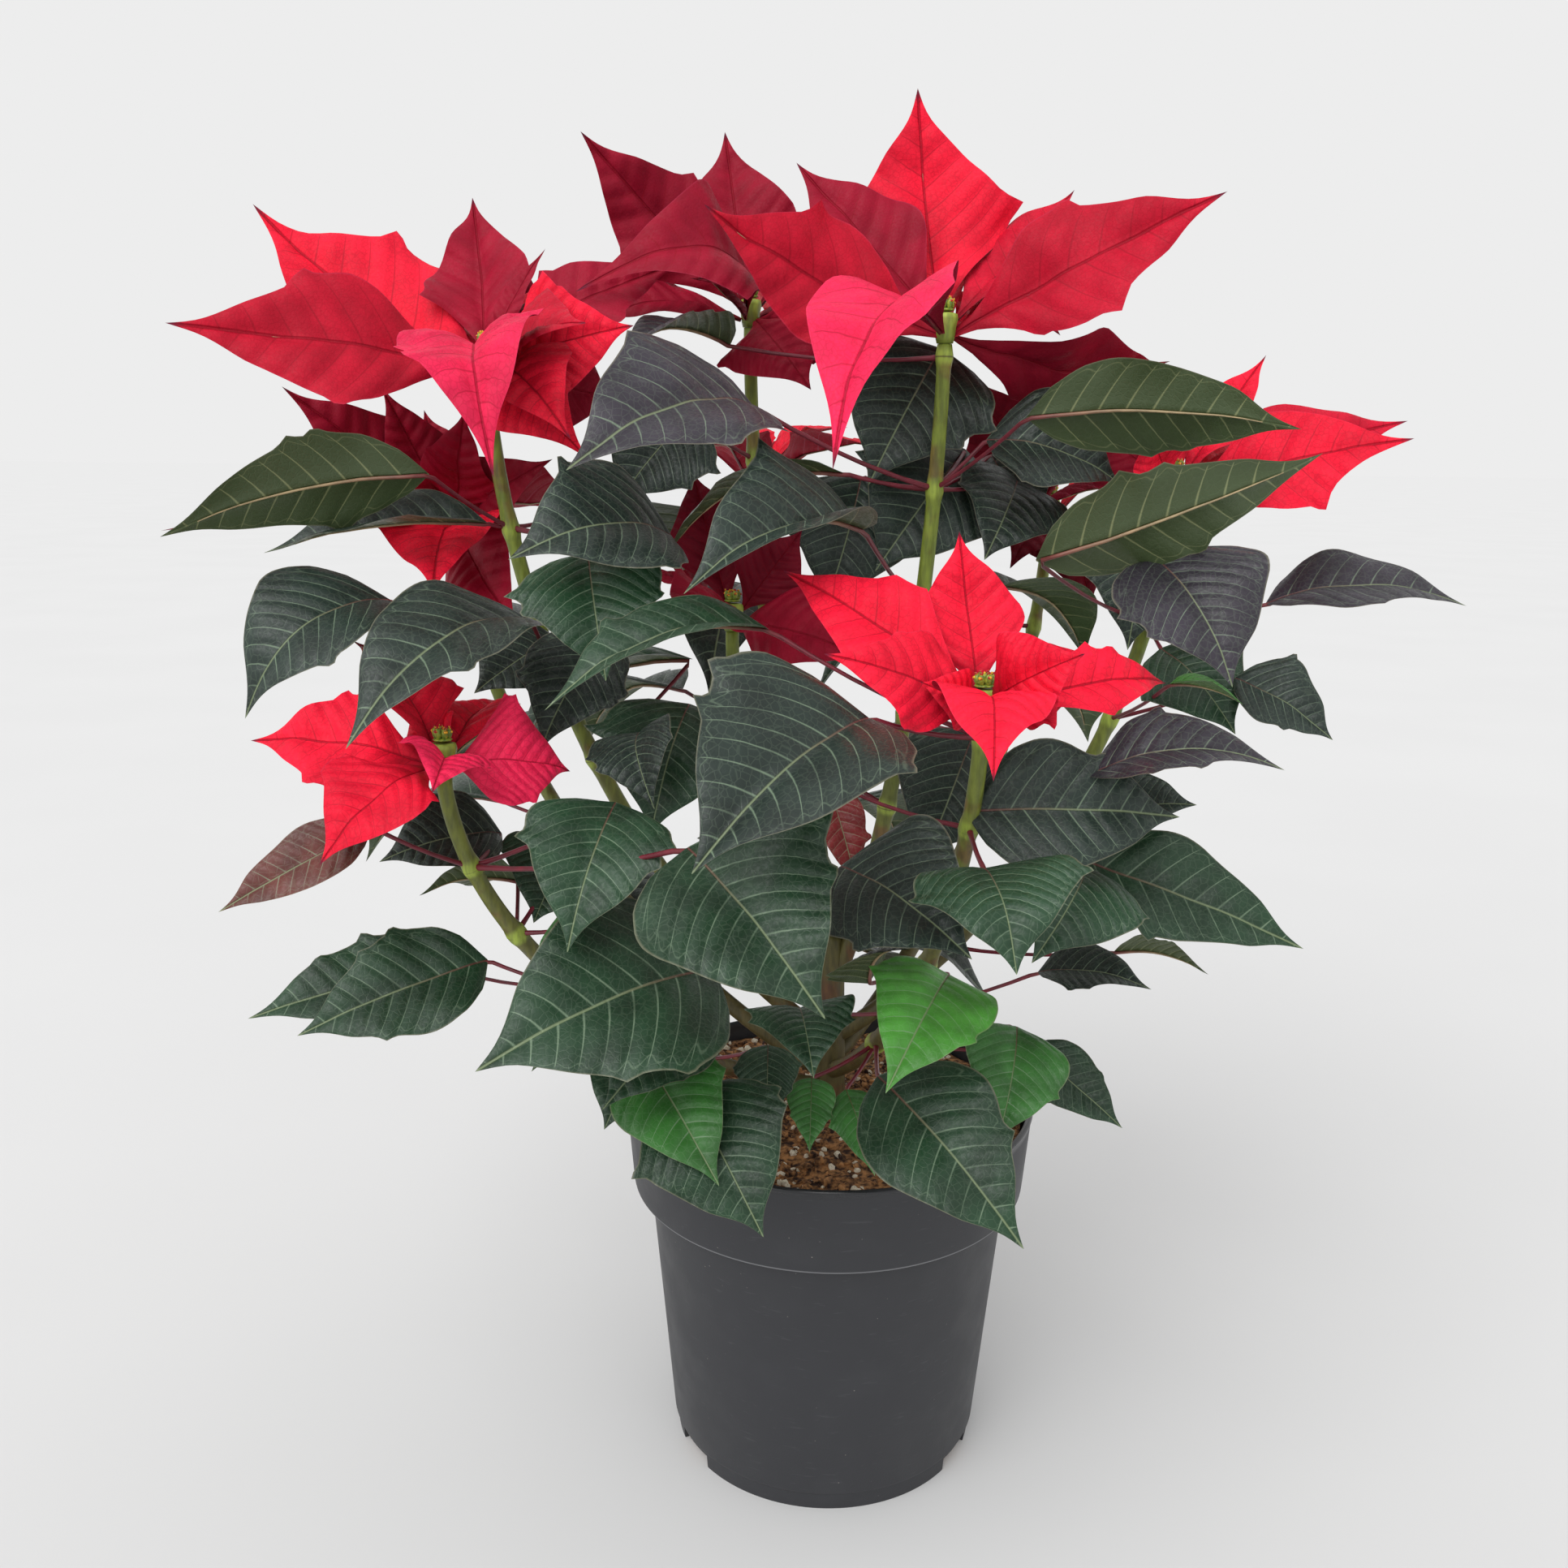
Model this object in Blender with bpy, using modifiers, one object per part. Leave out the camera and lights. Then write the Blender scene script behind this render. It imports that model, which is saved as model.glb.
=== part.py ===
"""A potted poinsettia: nursery pot, soil, short trunk, leafy stems, and a head of bracts and cyathia on each.

Run with: blender --background --python part.py

Lengths are metres unless a name ends in _MM. +Z is up, the plant's front faces -Y, and the origin is on
the pot's axis, on the surface that the pot stands on. Leaves and bracts are placed by hand where the plant
shows them, in millimetres, and a rule fills in the far side. Each blade is swung a little where its own
place would cross another.
"""

import math
from dataclasses import dataclass, replace

import bmesh
import bpy
from mathutils import Matrix, Vector
from mathutils.bvhtree import BVHTree

MM = 0.001

# Pot
RIM_RADIUS = 0.095
RIM_HEIGHT = 0.170
LIP = 0.0028
COLLAR_FOOT_HEIGHT = 0.130
COLLAR_FOOT_RADIUS = 0.0912
BODY_TOP_RADIUS = 0.0838
COLLAR_STEP = 0.0012
FOOT_RADIUS = 0.0718
FOOT_HEIGHT = 0.0090
FOOT_STEP = 0.0012
FOOT_DRAFT = 0.0008
FOOT_WIDTH = 0.0026
FLOOR_HEIGHT = 0.0060
WALL = 0.0020
POT_STEPS = 36
NOTCHES = 3
NOTCH_WIDTH = 0.024
NOTCH_DEPTH = 0.030
NOTCH_HEIGHT = 0.0066
NOTCH_FACING = math.radians(-30.0)
DRAIN_HOLES = 4
DRAIN_HOLE_RADIUS = 0.0055
DRAIN_RING_RADIUS = 0.046
DRAIN_HOLE_SIDES = 8

# Soil and trunk
SEAT_GAP = 0.0003
SOIL_EDGE_HEIGHT = 0.1610
SOIL_EDGE_RADIUS = 0.0900
SOIL_MOUND = 0.0030
SOIL_FIT = math.cos(math.pi / POT_STEPS)
SOIL_BUMP = 0.0008
SOIL_STEPS = 24
SOIL_SHELF = 0.0020
SOIL_CALM_RADIUS = 0.015
TRUNK_RADIUS = 0.0078
TRUNK_FOOT = 0.1180
TRUNK_TOP = 0.2480
TRUNK_SIDES = 12

# Stems, hubs and cyathia
STEM_BASE_RADIUS = 0.0043
STEM_TOP_RADIUS = 0.0031
STEM_POINTS = 9
NECK_LENGTH = 0.0050
HUB_HEIGHT = 0.0120
HUB_RADIUS = 0.0054
HUB_FOOT_RADIUS = 0.0034
HUB_SIDES = 12
BRACT_ROOT_SHARE = 0.86
CYATHIA_RING = 0.0020
CYATHIA_RADIUS = 0.0040
CYATHIA = 4
CYATHIUM_HEIGHT = 0.0056
CYATHIUM_RADIUS = 0.0015
CYATHIUM_LEAN = math.radians(6.0)
CYATHIUM_SIDES = 5
CUSHION_RADIUS = 0.0036
CUSHION_HEIGHT = 0.0016
CUSHION_SIDES = 8

# Blades
BLADE_THICKNESS = 0.0008
PETIOLE_RADIUS = 0.0014
PETIOLE_BASE_RADIUS = 0.0017
PETIOLE_GRIP = 0.0006
DOWNWARD_COST = 2.0
CLEARANCE = 0.0007
MARGIN_WAVE = 0.020
GOLDEN_ANGLE = math.radians(137.5)

# Leaves of the far side, in millimetres, how far up their stems they grow, and how many ways each is tried
FAR_SIDE_MM = -36.0
FAR_PETIOLE_MM = 38.0
FAR_LENGTH_MM = 108.0
FAR_SHORTENING = 0.22
FAR_RUN = 0.88
FAR_DROP = 0.44
FAR_WIDTH = 0.64
FAR_RISE_MM = 6.0
FAR_START = 1.1
FAR_TRIES = 16
FAR_SHARES = (0.34, 0.50, 0.68, 0.86)
REACH_BEHIND_MM = 220.0
REACH_ASIDE_MM = 250.0

# Where each outline is how wide: share of the length along the midrib, share of the largest half width.
LEAF = ((0.0, 0.015), (0.12, 0.72), (0.38, 1.0), (0.72, 0.54), (1.0, 0.0))
PLAIN = ((0.0, 0.015), (0.16, 0.80), (0.46, 1.0), (1.0, 0.0))
SHOULDERED = ((0.0, 0.015), (0.12, 0.62), (0.32, 1.0), (0.46, 0.76), (0.62, 0.66), (1.0, 0.0))
BRACT = ((0.0, 0.04), (0.14, 0.17), (0.44, 1.0), (0.78, 0.36), (1.0, 0.0))
HEART = ((0.0, 0.04), (0.13, 0.24), (0.36, 1.0), (0.62, 0.72), (0.84, 0.26), (1.0, 0.0))

# Which way a blade's upper face looks.
UP = (0.0, 0.0, 1.0)
FRONT = (0.0, -1.0, 0.15)
FRONT_UP = (0.0, -1.0, 1.0)
FRONT_LEFT = (-1.0, -1.0, 0.4)
BACK_UP = (0.0, 1.0, 1.0)

# Turns about the foot that a crowded blade tries, in degrees: sideways, then up or down.
SWING_TURNS = (0, 6, -6, 12, -12, 20, -20, 30, -30)
SWING_LIFTS = (0, 6, -6, 12, -12, 20, -20, 30)
SWINGS = tuple(
    sorted(
        ((turn, lift) for turn in SWING_TURNS for lift in SWING_LIFTS),
        key=lambda swing: (swing[0] ** 2 + swing[1] ** 2, swing),
    )
)


@dataclass(frozen=True)
class Blade:
    """One leaf or bract, from its foot to its tip in millimetres, with its full width and its fold."""

    name: str
    foot: tuple
    tip: tuple
    width: float
    face: tuple = UP
    bow: float = 0.10
    fold: float = 16.0
    outline: tuple = LEAF


@dataclass(frozen=True)
class Head:
    """The head on top of a stem: its place in millimetres, the height of its stem's fork, and its bracts."""

    name: str
    centre: tuple
    fork_height: float
    bracts: tuple


def bract(tip, width, face=UP, bow=0.10, fold=16.0, outline=BRACT):
    return Blade("bract", (), tip, width, face, bow, fold, outline)


def ring(centre, count, reach, width, start=0.0, rise=0.25):
    """Bracts all round a head, alternately long and short, the short ones steeper."""
    bracts = []
    for index in range(count):
        angle = math.radians(start) + index * GOLDEN_ANGLE
        short = index % 2
        length = reach * (0.72 if short else 1.0)
        climb = length * (rise + 0.30 * short)
        tip = (
            centre[0] + length * math.cos(angle),
            centre[1] + length * math.sin(angle),
            centre[2] + climb,
        )
        bracts.append(bract(tip, width * (0.8 if short else 1.0), UP, 0.14, 16))
    return tuple(bracts)


HEADS = (
    Head("left_top", (-145, -20, 496), 196, (
        bract((-253, -70, 506), 62, (0.2, -1.0, 0.5), 0.03, 10),
        bract((-246, 10, 560), 74, (0.5, -1.0, 0.7), -0.10, 14, HEART),
        bract((-158, 26, 566), 54, FRONT, -0.06, 22),
        bract((-84, -32, 510), 56, (0.0, -1.0, 0.35), 0.08, 8),
        bract((-104, -72, 466), 52, FRONT_UP, 0.16, 14),
        bract((-128, -98, 452), 64, (0.0, -1.0, 0.6), 0.30, 26, HEART),
        bract((-136, 4, 545), 16, FRONT, 0.05),
        bract((-128, 2, 541), 14, FRONT_LEFT, 0.05),
        bract((-190, 70, 530), 56, UP, 0.12),
        bract((-105, 70, 520), 52, UP, 0.14),
        bract((-94, -60, 508), 54, FRONT_UP, 0.10, 12),
        bract((-105, -60, 464), 44, FRONT, 0.20, 12),
        bract((-96, 20, 562), 44, FRONT, 0.06, 12),
        bract((-92, 0, 488), 50, FRONT, 0.06, 10),
    )),
    Head("back", (-40, 44, 522), 236, (
        bract((-109, 8, 589), 52, FRONT, -0.08, 8),
        bract((-53, 80, 604), 64, FRONT, -0.04, 8),
        bract((2, 72, 584), 42, FRONT_LEFT, 0.04),
        bract((-109, -16, 524), 62, (-0.4, -1.0, 0.4), 0.42, 14),
        bract((-107, 14, 516), 46, (0.0, -0.6, 1.0), 0.10, 10),
        bract((-64, 4, 532), 26, FRONT_UP, 0.10),
        bract((12, 34, 510), 46, FRONT, 0.10),
        bract((-75, 126, 560), 58, BACK_UP, 0.10),
        bract((0, 128, 540), 56, BACK_UP, 0.12),
        bract((-132, 10, 550), 58, (0.0, -1.0, 0.6), 0.06, 10),
        bract((-13, 10, 488), 54, FRONT, 0.10, 10),
    )),
    Head("right_top", (41, -12, 512), 220, (
        bract((29, 14, 608), 78, FRONT, -0.12, 8),
        bract((84, 8, 580), 50, FRONT_LEFT, -0.02, 14),
        bract((147, -22, 560), 60, (-0.2, -1.0, 0.3), 0.02, 12),
        bract((127, 34, 536), 50, (0.0, -0.8, 1.0), 0.10),
        bract((-55, -52, 552), 62, (0.2, -1.0, 0.25), -0.10, 12),
        bract((-14, 36, 572), 56, FRONT, 0.0, 12),
        bract((-7, -112, 456), 66, (-0.5, -1.0, 0.6), 0.26, 22, HEART),
        bract((146, 36, 503), 56, (0.0, -0.8, -0.8), 0.10, 10),
        bract((60, 96, 548), 58, BACK_UP, 0.12),
        bract((104, 78, 528), 52, UP, 0.12),
    )),
    Head("right", (142, 0, 449), 196, (
        bract((183, 20, 505), 34, FRONT_LEFT, 0.0),
        bract((233, -4, 487), 50, (0.0, -1.0, 0.8), 0.06, 10),
        bract((225, -40, 470), 54, (0.0, -1.0, 0.6), 0.06, 10),
        bract((100, 10, 479), 48, FRONT, 0.02, 12),
        bract((122, -26, 478), 36, FRONT, -0.04),
        bract((80, 22, 449), 38, UP, 0.12),
        bract((160, 84, 478), 52, BACK_UP, 0.12),
        bract((212, 58, 466), 50, UP, 0.12),
    )),
    Head("front", (47, -126, 376), 180, (
        bract((41, -106, 437), 46, FRONT, -0.05, 12),
        bract((-24, -96, 420), 44, (0.1, -1.0, 0.5), 0.08, 10),
        bract((-10, -150, 397), 42, (0.1, -1.0, 0.6), 0.10, 10),
        bract((90, -92, 408), 34, FRONT, 0.0, 12, SHOULDERED),
        bract((122, -84, 378), 30, (0.0, -1.0, 0.6), 0.16, 14),
        bract((43, -184, 362), 46, (0.0, -1.0, 0.9), 0.26, 10, HEART),
        bract((68, -158, 398), 40, (-0.3, -1.0, 0.5), 0.05, 12, HEART),
        bract((28, -152, 391), 26, (0.3, -1.0, 0.6), 0.05),
    )),
    Head("left_low", (-148, -108, 351), 172, (
        bract((-220, -104, 356), 46, (0.0, -1.0, 0.9), 0.10, 12),
        bract((-182, -150, 322), 52, (-0.2, -1.0, 0.9), 0.14, 12),
        bract((-140, -158, 350), 36, (0.4, -1.0, 0.8), 0.16, 14, HEART),
        bract((-104, -92, 343), 46, (0.2, -1.0, 0.7), 0.20, 12, HEART),
        bract((-164, -76, 366), 28, FRONT, 0.0),
        bract((-150, -40, 366), 40, UP, 0.12),
        bract((-196, -62, 360), 44, UP, 0.12),
    )),
    Head("rear_left", (-174, 46, 430), 178, (
        bract((-239, 10, 487), 44, (0.2, -1.0, 0.5), 0.0),
        bract((-263, -66, 430), 52, (0.0, -0.3, 1.0), 0.06, 10),
        bract((-184, 64, 484), 36, FRONT, 0.0),
        bract((-166, -40, 404), 62, (0.0, -1.0, 0.7), 0.12, 10),
        bract((-132, 4, 458), 40, (0.0, -1.0, 0.5), 0.10),
        bract((-227, 20, 441), 50, (0.0, -0.8, 1.0), 0.10),
        bract((-214, 116, 458), 56, BACK_UP, 0.10),
        bract((-140, 124, 448), 52, BACK_UP, 0.12),
        bract((-204, 30, 488), 36, FRONT, 0.04, 12),
        bract((-158, 10, 482), 40, FRONT, 0.06, 12),
        bract((-138, -26, 412), 50, FRONT, 0.08, 10),
    )),
    Head("centre", (-46, 0, 392), 214, (
        bract((-70, -70, 396), 54, (0.0, -1.0, 0.6), 0.14, 10),
        bract((12, -46, 380), 50, (0.0, -1.0, 0.5), 0.12, 10),
        bract((-60, 30, 458), 44, FRONT, 0.0),
        bract((-16, -4, 430), 40, FRONT, 0.0),
        bract((-98, 12, 412), 44, UP, 0.10),
    )),
    Head("rear_right", (106, 92, 436), 184, (
        bract((80, 40, 411), 48, (0.0, -1.0, 0.8), 0.12),
        bract((122, 38, 402), 52, (0.0, -1.0, 0.7), 0.14),
        bract((62, 82, 500), 50, FRONT, 0.0),
        bract((92, 70, 492), 46, FRONT, 0.0),
        bract((180, 122, 462), 56, UP, 0.12),
        bract((118, 178, 468), 58, BACK_UP, 0.12),
        bract((54, 148, 452), 54, BACK_UP, 0.12),
    )),
    Head("rear", (-40, 146, 446), 206, ring((-40, 146, 446), 6, 74, 50, 60)),
)

LEAVES = (
    Blade("upper_purple", (-36, -50, 479), (-99, -118, 455), 72, (-0.1, -1.0, 0.7), 0.14, 14),
    Blade("upper_behind", (-48, 14, 506), (-90, -24, 505), 46, UP, 0.16),
    Blade("mid_pointed", (-67, -64, 430), (-121, -112, 424), 66, (0.0, -1.0, 0.8), 0.16, 12),
    Blade("mid_folded", (6, -76, 434), (-58, -128, 414), 62, (-0.2, -0.8, 0.9), 0.16, 34),
    Blade("mid_hanging", (-98, -74, 424), (-88, -106, 380), 58, (0.0, -1.0, 0.6), 0.12, 12),
    Blade("left_drooping", (-122, -64, 397), (-168, -146, 370), 62, (-0.2, -1.0, 0.8), 0.18, 14),
    Blade("left_cupped", (-182, -44, 402), (-230, -82, 360), 62, (-0.2, -0.9, 0.7), 0.26, 14),
    Blade("mid_narrow", (-29, -108, 400), (-104, -146, 376), 38, (0.0, -0.3, 1.0), 0.14, 20),
    Blade("front_great", (5, -158, 377), (-50, -212, 339), 84, (-0.3, -1.0, 0.7), 0.12, 26),
    Blade("front_round", (45, -158, 326), (51, -198, 303), 60, (0.0, -1.0, 0.8), 0.22, 10),
    Blade("right_round", (90, -112, 314), (64, -152, 290), 54, (0.2, -1.0, 0.7), 0.16, 12),
    Blade("right_long", (94, -84, 308), (178, -100, 278), 48, (0.0, -1.0, 0.9), 0.03, 14),
    Blade("right_edge", (104, -64, 320), (139, -82, 331), 36, (0.0, -1.0, 1.0), 0.10, 16),
    Blade("right_purple", (86, -122, 350), (150, -140, 357), 42, (0.0, -0.4, 1.0), 0.16, 12),
    Blade("right_under_head", (43, -120, 336), (120, -112, 343), 54, (0.0, -1.0, 0.5), 0.10, 12),
    Blade("right_hanging", (118, -66, 424), (141, -104, 380), 68, (0.1, -1.0, 0.6), 0.14, 12),
    Blade("right_far", (182, -10, 401), (264, -18, 402), 46, (0.0, -0.5, 1.0), 0.12, 12),
    Blade("right_underside", (72, -74, 423), (173, -100, 453), 46, (0.0, 1.0, 0.5), -0.04, 8),
    Blade("right_top_underside", (70, -48, 476), (162, -92, 472), 44, (0.0, 1.0, 0.5), 0.10, 8),
    Blade("right_dark", (61, -2, 468), (118, 0, 450), 54, (0.0, -1.0, 0.8), 0.14),
    Blade("left_underside", (-163, -50, 452), (-254, -88, 429), 44, (0.0, 0.9, 0.6), 0.10, 8),
    Blade("left_curly", (-146, -24, 432), (-228, -58, 430), 40, (0.0, -0.4, 1.0), 0.06, 30, SHOULDERED),
    Blade("low_shouldered", (-84, -116, 337), (-96, -160, 295), 60, (0.0, -1.0, 0.7), 0.14, 14, SHOULDERED),
    Blade("low_great", (-55, -158, 332), (-9, -204, 290), 76, (0.0, -1.0, 0.8), 0.12, 14),
    Blade("low_left_great", (-48, -118, 274), (-125, -178, 259), 84, (0.0, -1.0, 0.9), 0.12, 12),
    Blade("low_bright", (-76, -104, 290), (-97, -150, 286), 34, UP, 0.12, 16),
    Blade("low_left_far", (-142, -74, 260), (-210, -106, 240), 50, (0.0, -1.0, 0.8), 0.06, 12),
    Blade("low_left_behind", (-161, -50, 246), (-239, -80, 236), 44, (0.0, -0.8, 1.0), 0.06),
    Blade("left_olive", (-131, -62, 290), (-167, -80, 289), 34, (0.0, 0.7, 0.8), 0.10, 16),
    Blade("left_dark", (-137, -62, 310), (-179, -88, 300), 44, (0.0, -1.0, 0.9), 0.12),
    Blade("front_shaded", (-2, -124, 316), (41, -168, 297), 66, (0.0, -1.0, 0.9), 0.12, 12),
    Blade("low_lime", (40, -116, 272), (13, -172, 250), 50, (0.0, -1.0, 0.9), 0.14, 12),
    Blade("low_lime_right", (72, -84, 238), (60, -122, 206), 46, (0.1, -1.0, 0.6), 0.12, 12),
    Blade("low_right_great", (15, -106, 226), (66, -156, 182), 60, (0.0, -1.0, 0.8), 0.12, 12),
    Blade("low_right_far", (81, -60, 219), (120, -74, 189), 30, (0.0, -1.0, 0.8), 0.04, 16),
    Blade("low_left_tip", (-96, -78, 232), (-119, -110, 228), 34, UP, 0.12, 16),
    Blade("low_left_mid", (-56, -100, 245), (-87, -146, 230), 44, (0.0, -1.0, 1.0), 0.12, 12),
    Blade("rim_left_bright", (-76, -104, 232), (-43, -150, 207), 48, (0.0, -1.0, 0.9), 0.12, 12),
    Blade("rim_left_great", (-58, -112, 222), (-26, -154, 188), 62, (0.0, -1.0, 0.7), 0.12, 12),
    Blade("rim_small", (-28, -82, 228), (-28, -104, 204), 28, FRONT_UP, 0.12, 16),
    Blade("rim_slim", (-10, -78, 212), (-11, -104, 192), 22, FRONT_UP, 0.12, 16),
    Blade("rim_slim_right", (4, -80, 208), (16, -108, 186), 24, FRONT_UP, 0.12, 16),
    Blade("front_low_fold", (-16, -116, 258), (-11, -152, 246), 44, (0.0, -1.0, 1.0), 0.16, 20),
    Blade("right_low_slim", (82, -70, 256), (124, -88, 256), 32, (0.0, -0.4, 1.0), 0.10, 16),
    Blade("right_low_olive", (119, -44, 256), (155, -60, 252), 32, (0.0, 0.6, 1.0), 0.10, 16),
    Blade("inner_curled", (-78, -84, 357), (-70, -114, 334), 40, (-0.3, -1.0, 0.6), 0.24, 22),
    Blade("front_low_slim", (10, -116, 268), (39, -154, 272), 38, (0.0, -0.8, 1.0), 0.12),
    Blade("right_behind", (161, -42, 374), (197, -60, 352), 38, (0.0, -1.0, 0.9), 0.08),
    Blade("right_lit", (130, -60, 374), (158, -66, 367), 24, UP, 0.10, 16),
    Blade("left_red_green", (-170, -128, 330), (-219, -148, 304), 26, (0.0, -1.0, 0.7), 0.02, 14),
    Blade("withered", (-6, -76, 337), (6, -92, 298), 22, (0.1, -1.0, 0.3), 0.10, 14),
    Blade("inner_high", (44, 30, 507), (12, 0, 449), 74, (0.0, -1.0, 0.4), 0.10, 10),
    Blade("inner_high_low", (57, 35, 464), (16, 5, 412), 74, (0.0, -1.0, 0.4), 0.10, 10),
    Blade("inner_right", (69, 40, 462), (83, 20, 427), 50, (0.0, -1.0, 0.4), 0.10, 10),
    Blade("inner_left_high", (-64, 10, 477), (-94, -10, 440), 54, (0.0, -1.0, 0.4), 0.10, 10),
    Blade("left_inner", (-118, -20, 383), (-145, -50, 357), 50, (0.0, -1.0, 0.5), 0.10, 10),
    Blade("mid_curly", (-61, -55, 363), (-74, -90, 317), 62, (0.0, -1.0, 0.6), 0.18, 12),
    Blade("left_inner_low", (-112, -50, 303), (-128, -80, 279), 52, (0.0, -1.0, 0.6), 0.10, 12),
    Blade("right_mid_dark", (136, -20, 383), (161, -50, 352), 52, (0.0, -1.0, 0.6), 0.12, 12),
    Blade("rim_left_dark", (-75, -90, 230), (-90, -120, 209), 42, (0.0, -1.0, 0.9), 0.12, 12),
    Blade("front_inner", (53, -60, 354), (33, -80, 306), 56, (0.0, -1.0, 0.4), 0.10, 10),
    Blade("inner_middle", (10, 26, 452), (-18, 2, 402), 62, (0.0, -1.0, 0.4), 0.10, 10, PLAIN),
    Blade("inner_top", (-2, 34, 516), (-34, 8, 462), 56, (0.0, -1.0, 0.4), 0.10, 10, PLAIN),
    Blade("left_inner_mid", (-96, -40, 390), (-116, -72, 346), 46, (0.0, -1.0, 0.5), 0.10, 10, PLAIN),
    Blade("right_inner_high", (130, 4, 432), (122, -20, 382), 50, (0.0, -1.0, 0.4), 0.10, 10, PLAIN),
    Blade("right_inner_mid", (80, 30, 452), (60, 2, 404), 54, (0.0, -1.0, 0.4), 0.10, 10, PLAIN),
)


def swung(blade, turn, lift):
    """The blade turned about its foot, sideways by turn and upwards by lift, in degrees."""
    foot = Vector(blade.foot)
    reach = Vector(blade.tip) - foot
    spin = Matrix.Rotation(math.radians(turn), 3, "Z")
    side = reach.cross(Vector(UP))
    raise_by = Matrix.Rotation(math.radians(lift), 3, side) if side.length > 1e-6 else Matrix.Identity(3)
    both = spin @ raise_by
    return replace(blade, tip=tuple(foot + both @ reach), face=tuple(both @ Vector(blade.face)))


def blade_point(blade, along, across, lift=0.0):
    """A point of the blade's middle surface, across from -1 at the left margin to 1 at the right one."""
    foot = Vector(blade.foot) * MM
    reach = Vector(blade.tip) * MM - foot
    axis = reach.normalized()
    normal = Vector(blade.face)
    normal = (normal - axis * normal.dot(axis)).normalized()
    side = axis.cross(normal)
    half = 0.5 * blade.width * MM * outline_share(blade.outline, along)
    fold = math.radians(blade.fold)
    wave = 2.0 * MARGIN_WAVE * half * math.sin(3.0 * math.pi * along + 0.9 * across) * abs(across)
    arch = blade.bow * reach.length * 4.0 * along * (1.0 - along)
    rise = arch + half * abs(across) * math.sin(fold) + wave + lift
    return foot + reach * along + side * (across * half * math.cos(fold)) + normal * rise


def outline_share(outline, along):
    """The half width at this share of the length, straight between the outline's points."""
    for (start, low), (end, high) in zip(outline, outline[1:]):
        if along <= end:
            return low + (high - low) * (along - start) / (end - start)
    return 0.0


def new_object(name, mesh, collection):
    obj = bpy.data.objects.new(name, mesh)
    collection.objects.link(obj)
    return obj


def mesh_from(name, bm):
    mesh = bpy.data.meshes.new(name)
    bm.to_mesh(mesh)
    bm.free()
    return mesh


def evaluated_mesh(obj):
    """The object's mesh with its modifiers applied; the object itself is removed."""
    graph = bpy.context.evaluated_depsgraph_get()
    mesh = bpy.data.meshes.new_from_object(obj.evaluated_get(graph))
    bpy.data.objects.remove(obj)
    return mesh


def blade_sheet(blade, lift, first_row=0):
    """Points and triangles of one face of the blade, lifted off its middle surface."""
    rows = [along for along, share in blade.outline][first_row:]
    points = [blade_point(blade, along, across, lift) for along in rows for across in (-1, 0, 1)]
    faces = []
    for row in range(len(rows) - 1):
        for column in (0, 1):
            corner = 3 * row + column
            faces += [(corner, corner + 1, corner + 4), (corner, corner + 4, corner + 3)]
    return points, faces


def blade_object(blade, collection):
    """A thin closed blade: a grid bent to the blade's form, split into triangles, then made solid."""
    rows = len(blade.outline) - 1
    bm = bmesh.new()
    bmesh.ops.create_grid(bm, x_segments=2, y_segments=rows, size=1.0)
    for vertex in bm.verts:
        row = round((vertex.co.y + 1.0) * 0.5 * rows)
        vertex.co = blade_point(blade, blade.outline[row][0], round(vertex.co.x))
    bmesh.ops.remove_doubles(bm, verts=bm.verts, dist=1e-5)
    bmesh.ops.triangulate(bm, faces=bm.faces)
    obj = new_object(blade.name, mesh_from(blade.name, bm), collection)
    thicken = obj.modifiers.new("Thickness", "SOLIDIFY")
    thicken.thickness = BLADE_THICKNESS
    thicken.offset = 0.0
    return new_object(blade.name, evaluated_mesh(obj), collection)


def tube_mesh(name, points, radii, resolution, collection):
    """A closed tube along the points: a curve with a round bevel and filled caps, as a mesh."""
    curve = bpy.data.curves.new(name, "CURVE")
    curve.dimensions = "3D"
    curve.bevel_depth = 1.0
    curve.bevel_resolution = resolution
    curve.use_fill_caps = True
    spline = curve.splines.new("POLY")
    spline.points.add(len(points) - 1)
    for target, point, radius in zip(spline.points, points, radii):
        target.co = (*point, 1.0)
        target.radius = radius
    mesh = evaluated_mesh(new_object(name, curve, collection))
    bm = bmesh.new()
    bm.from_mesh(mesh)
    bmesh.ops.remove_doubles(bm, verts=bm.verts, dist=1e-6)
    bmesh.ops.recalc_face_normals(bm, faces=bm.faces)
    bpy.data.meshes.remove(mesh)
    return mesh_from(name, bm)


def bezier(ends, share):
    """The point at this share of a cubic curve with the four given points."""
    start, first, second, end = ends
    left = 1.0 - share
    middle = first * 3 * left**2 * share + second * 3 * left * share**2
    return start * left**3 + middle + end * share**3


def stem_points(head):
    """A stem's middle line: out of the trunk at its fork, outwards, then upright under its head."""
    top = Vector(head.centre) * MM - Vector((0.0, 0.0, 0.5 * HUB_HEIGHT + SEAT_GAP))
    neck = top - Vector((0.0, 0.0, NECK_LENGTH))
    outward = Vector((top.x, top.y, 0.0))
    fork = Vector((0.0, 0.0, head.fork_height * MM))
    rise = Vector((0.0, 0.0, neck.z - fork.z))
    ends = (fork, fork + outward * 0.45 + rise * 0.16, neck - outward * 0.06 - rise * 0.45, neck)
    return [bezier(ends, index / (STEM_POINTS - 2)) for index in range(STEM_POINTS - 1)] + [top]


def stem_radii():
    """The stem's radius at each of its points, from the fork to the head."""
    taper = (STEM_TOP_RADIUS - STEM_BASE_RADIUS) / (STEM_POINTS - 1)
    return [STEM_BASE_RADIUS + taper * index for index in range(STEM_POINTS)]


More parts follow.
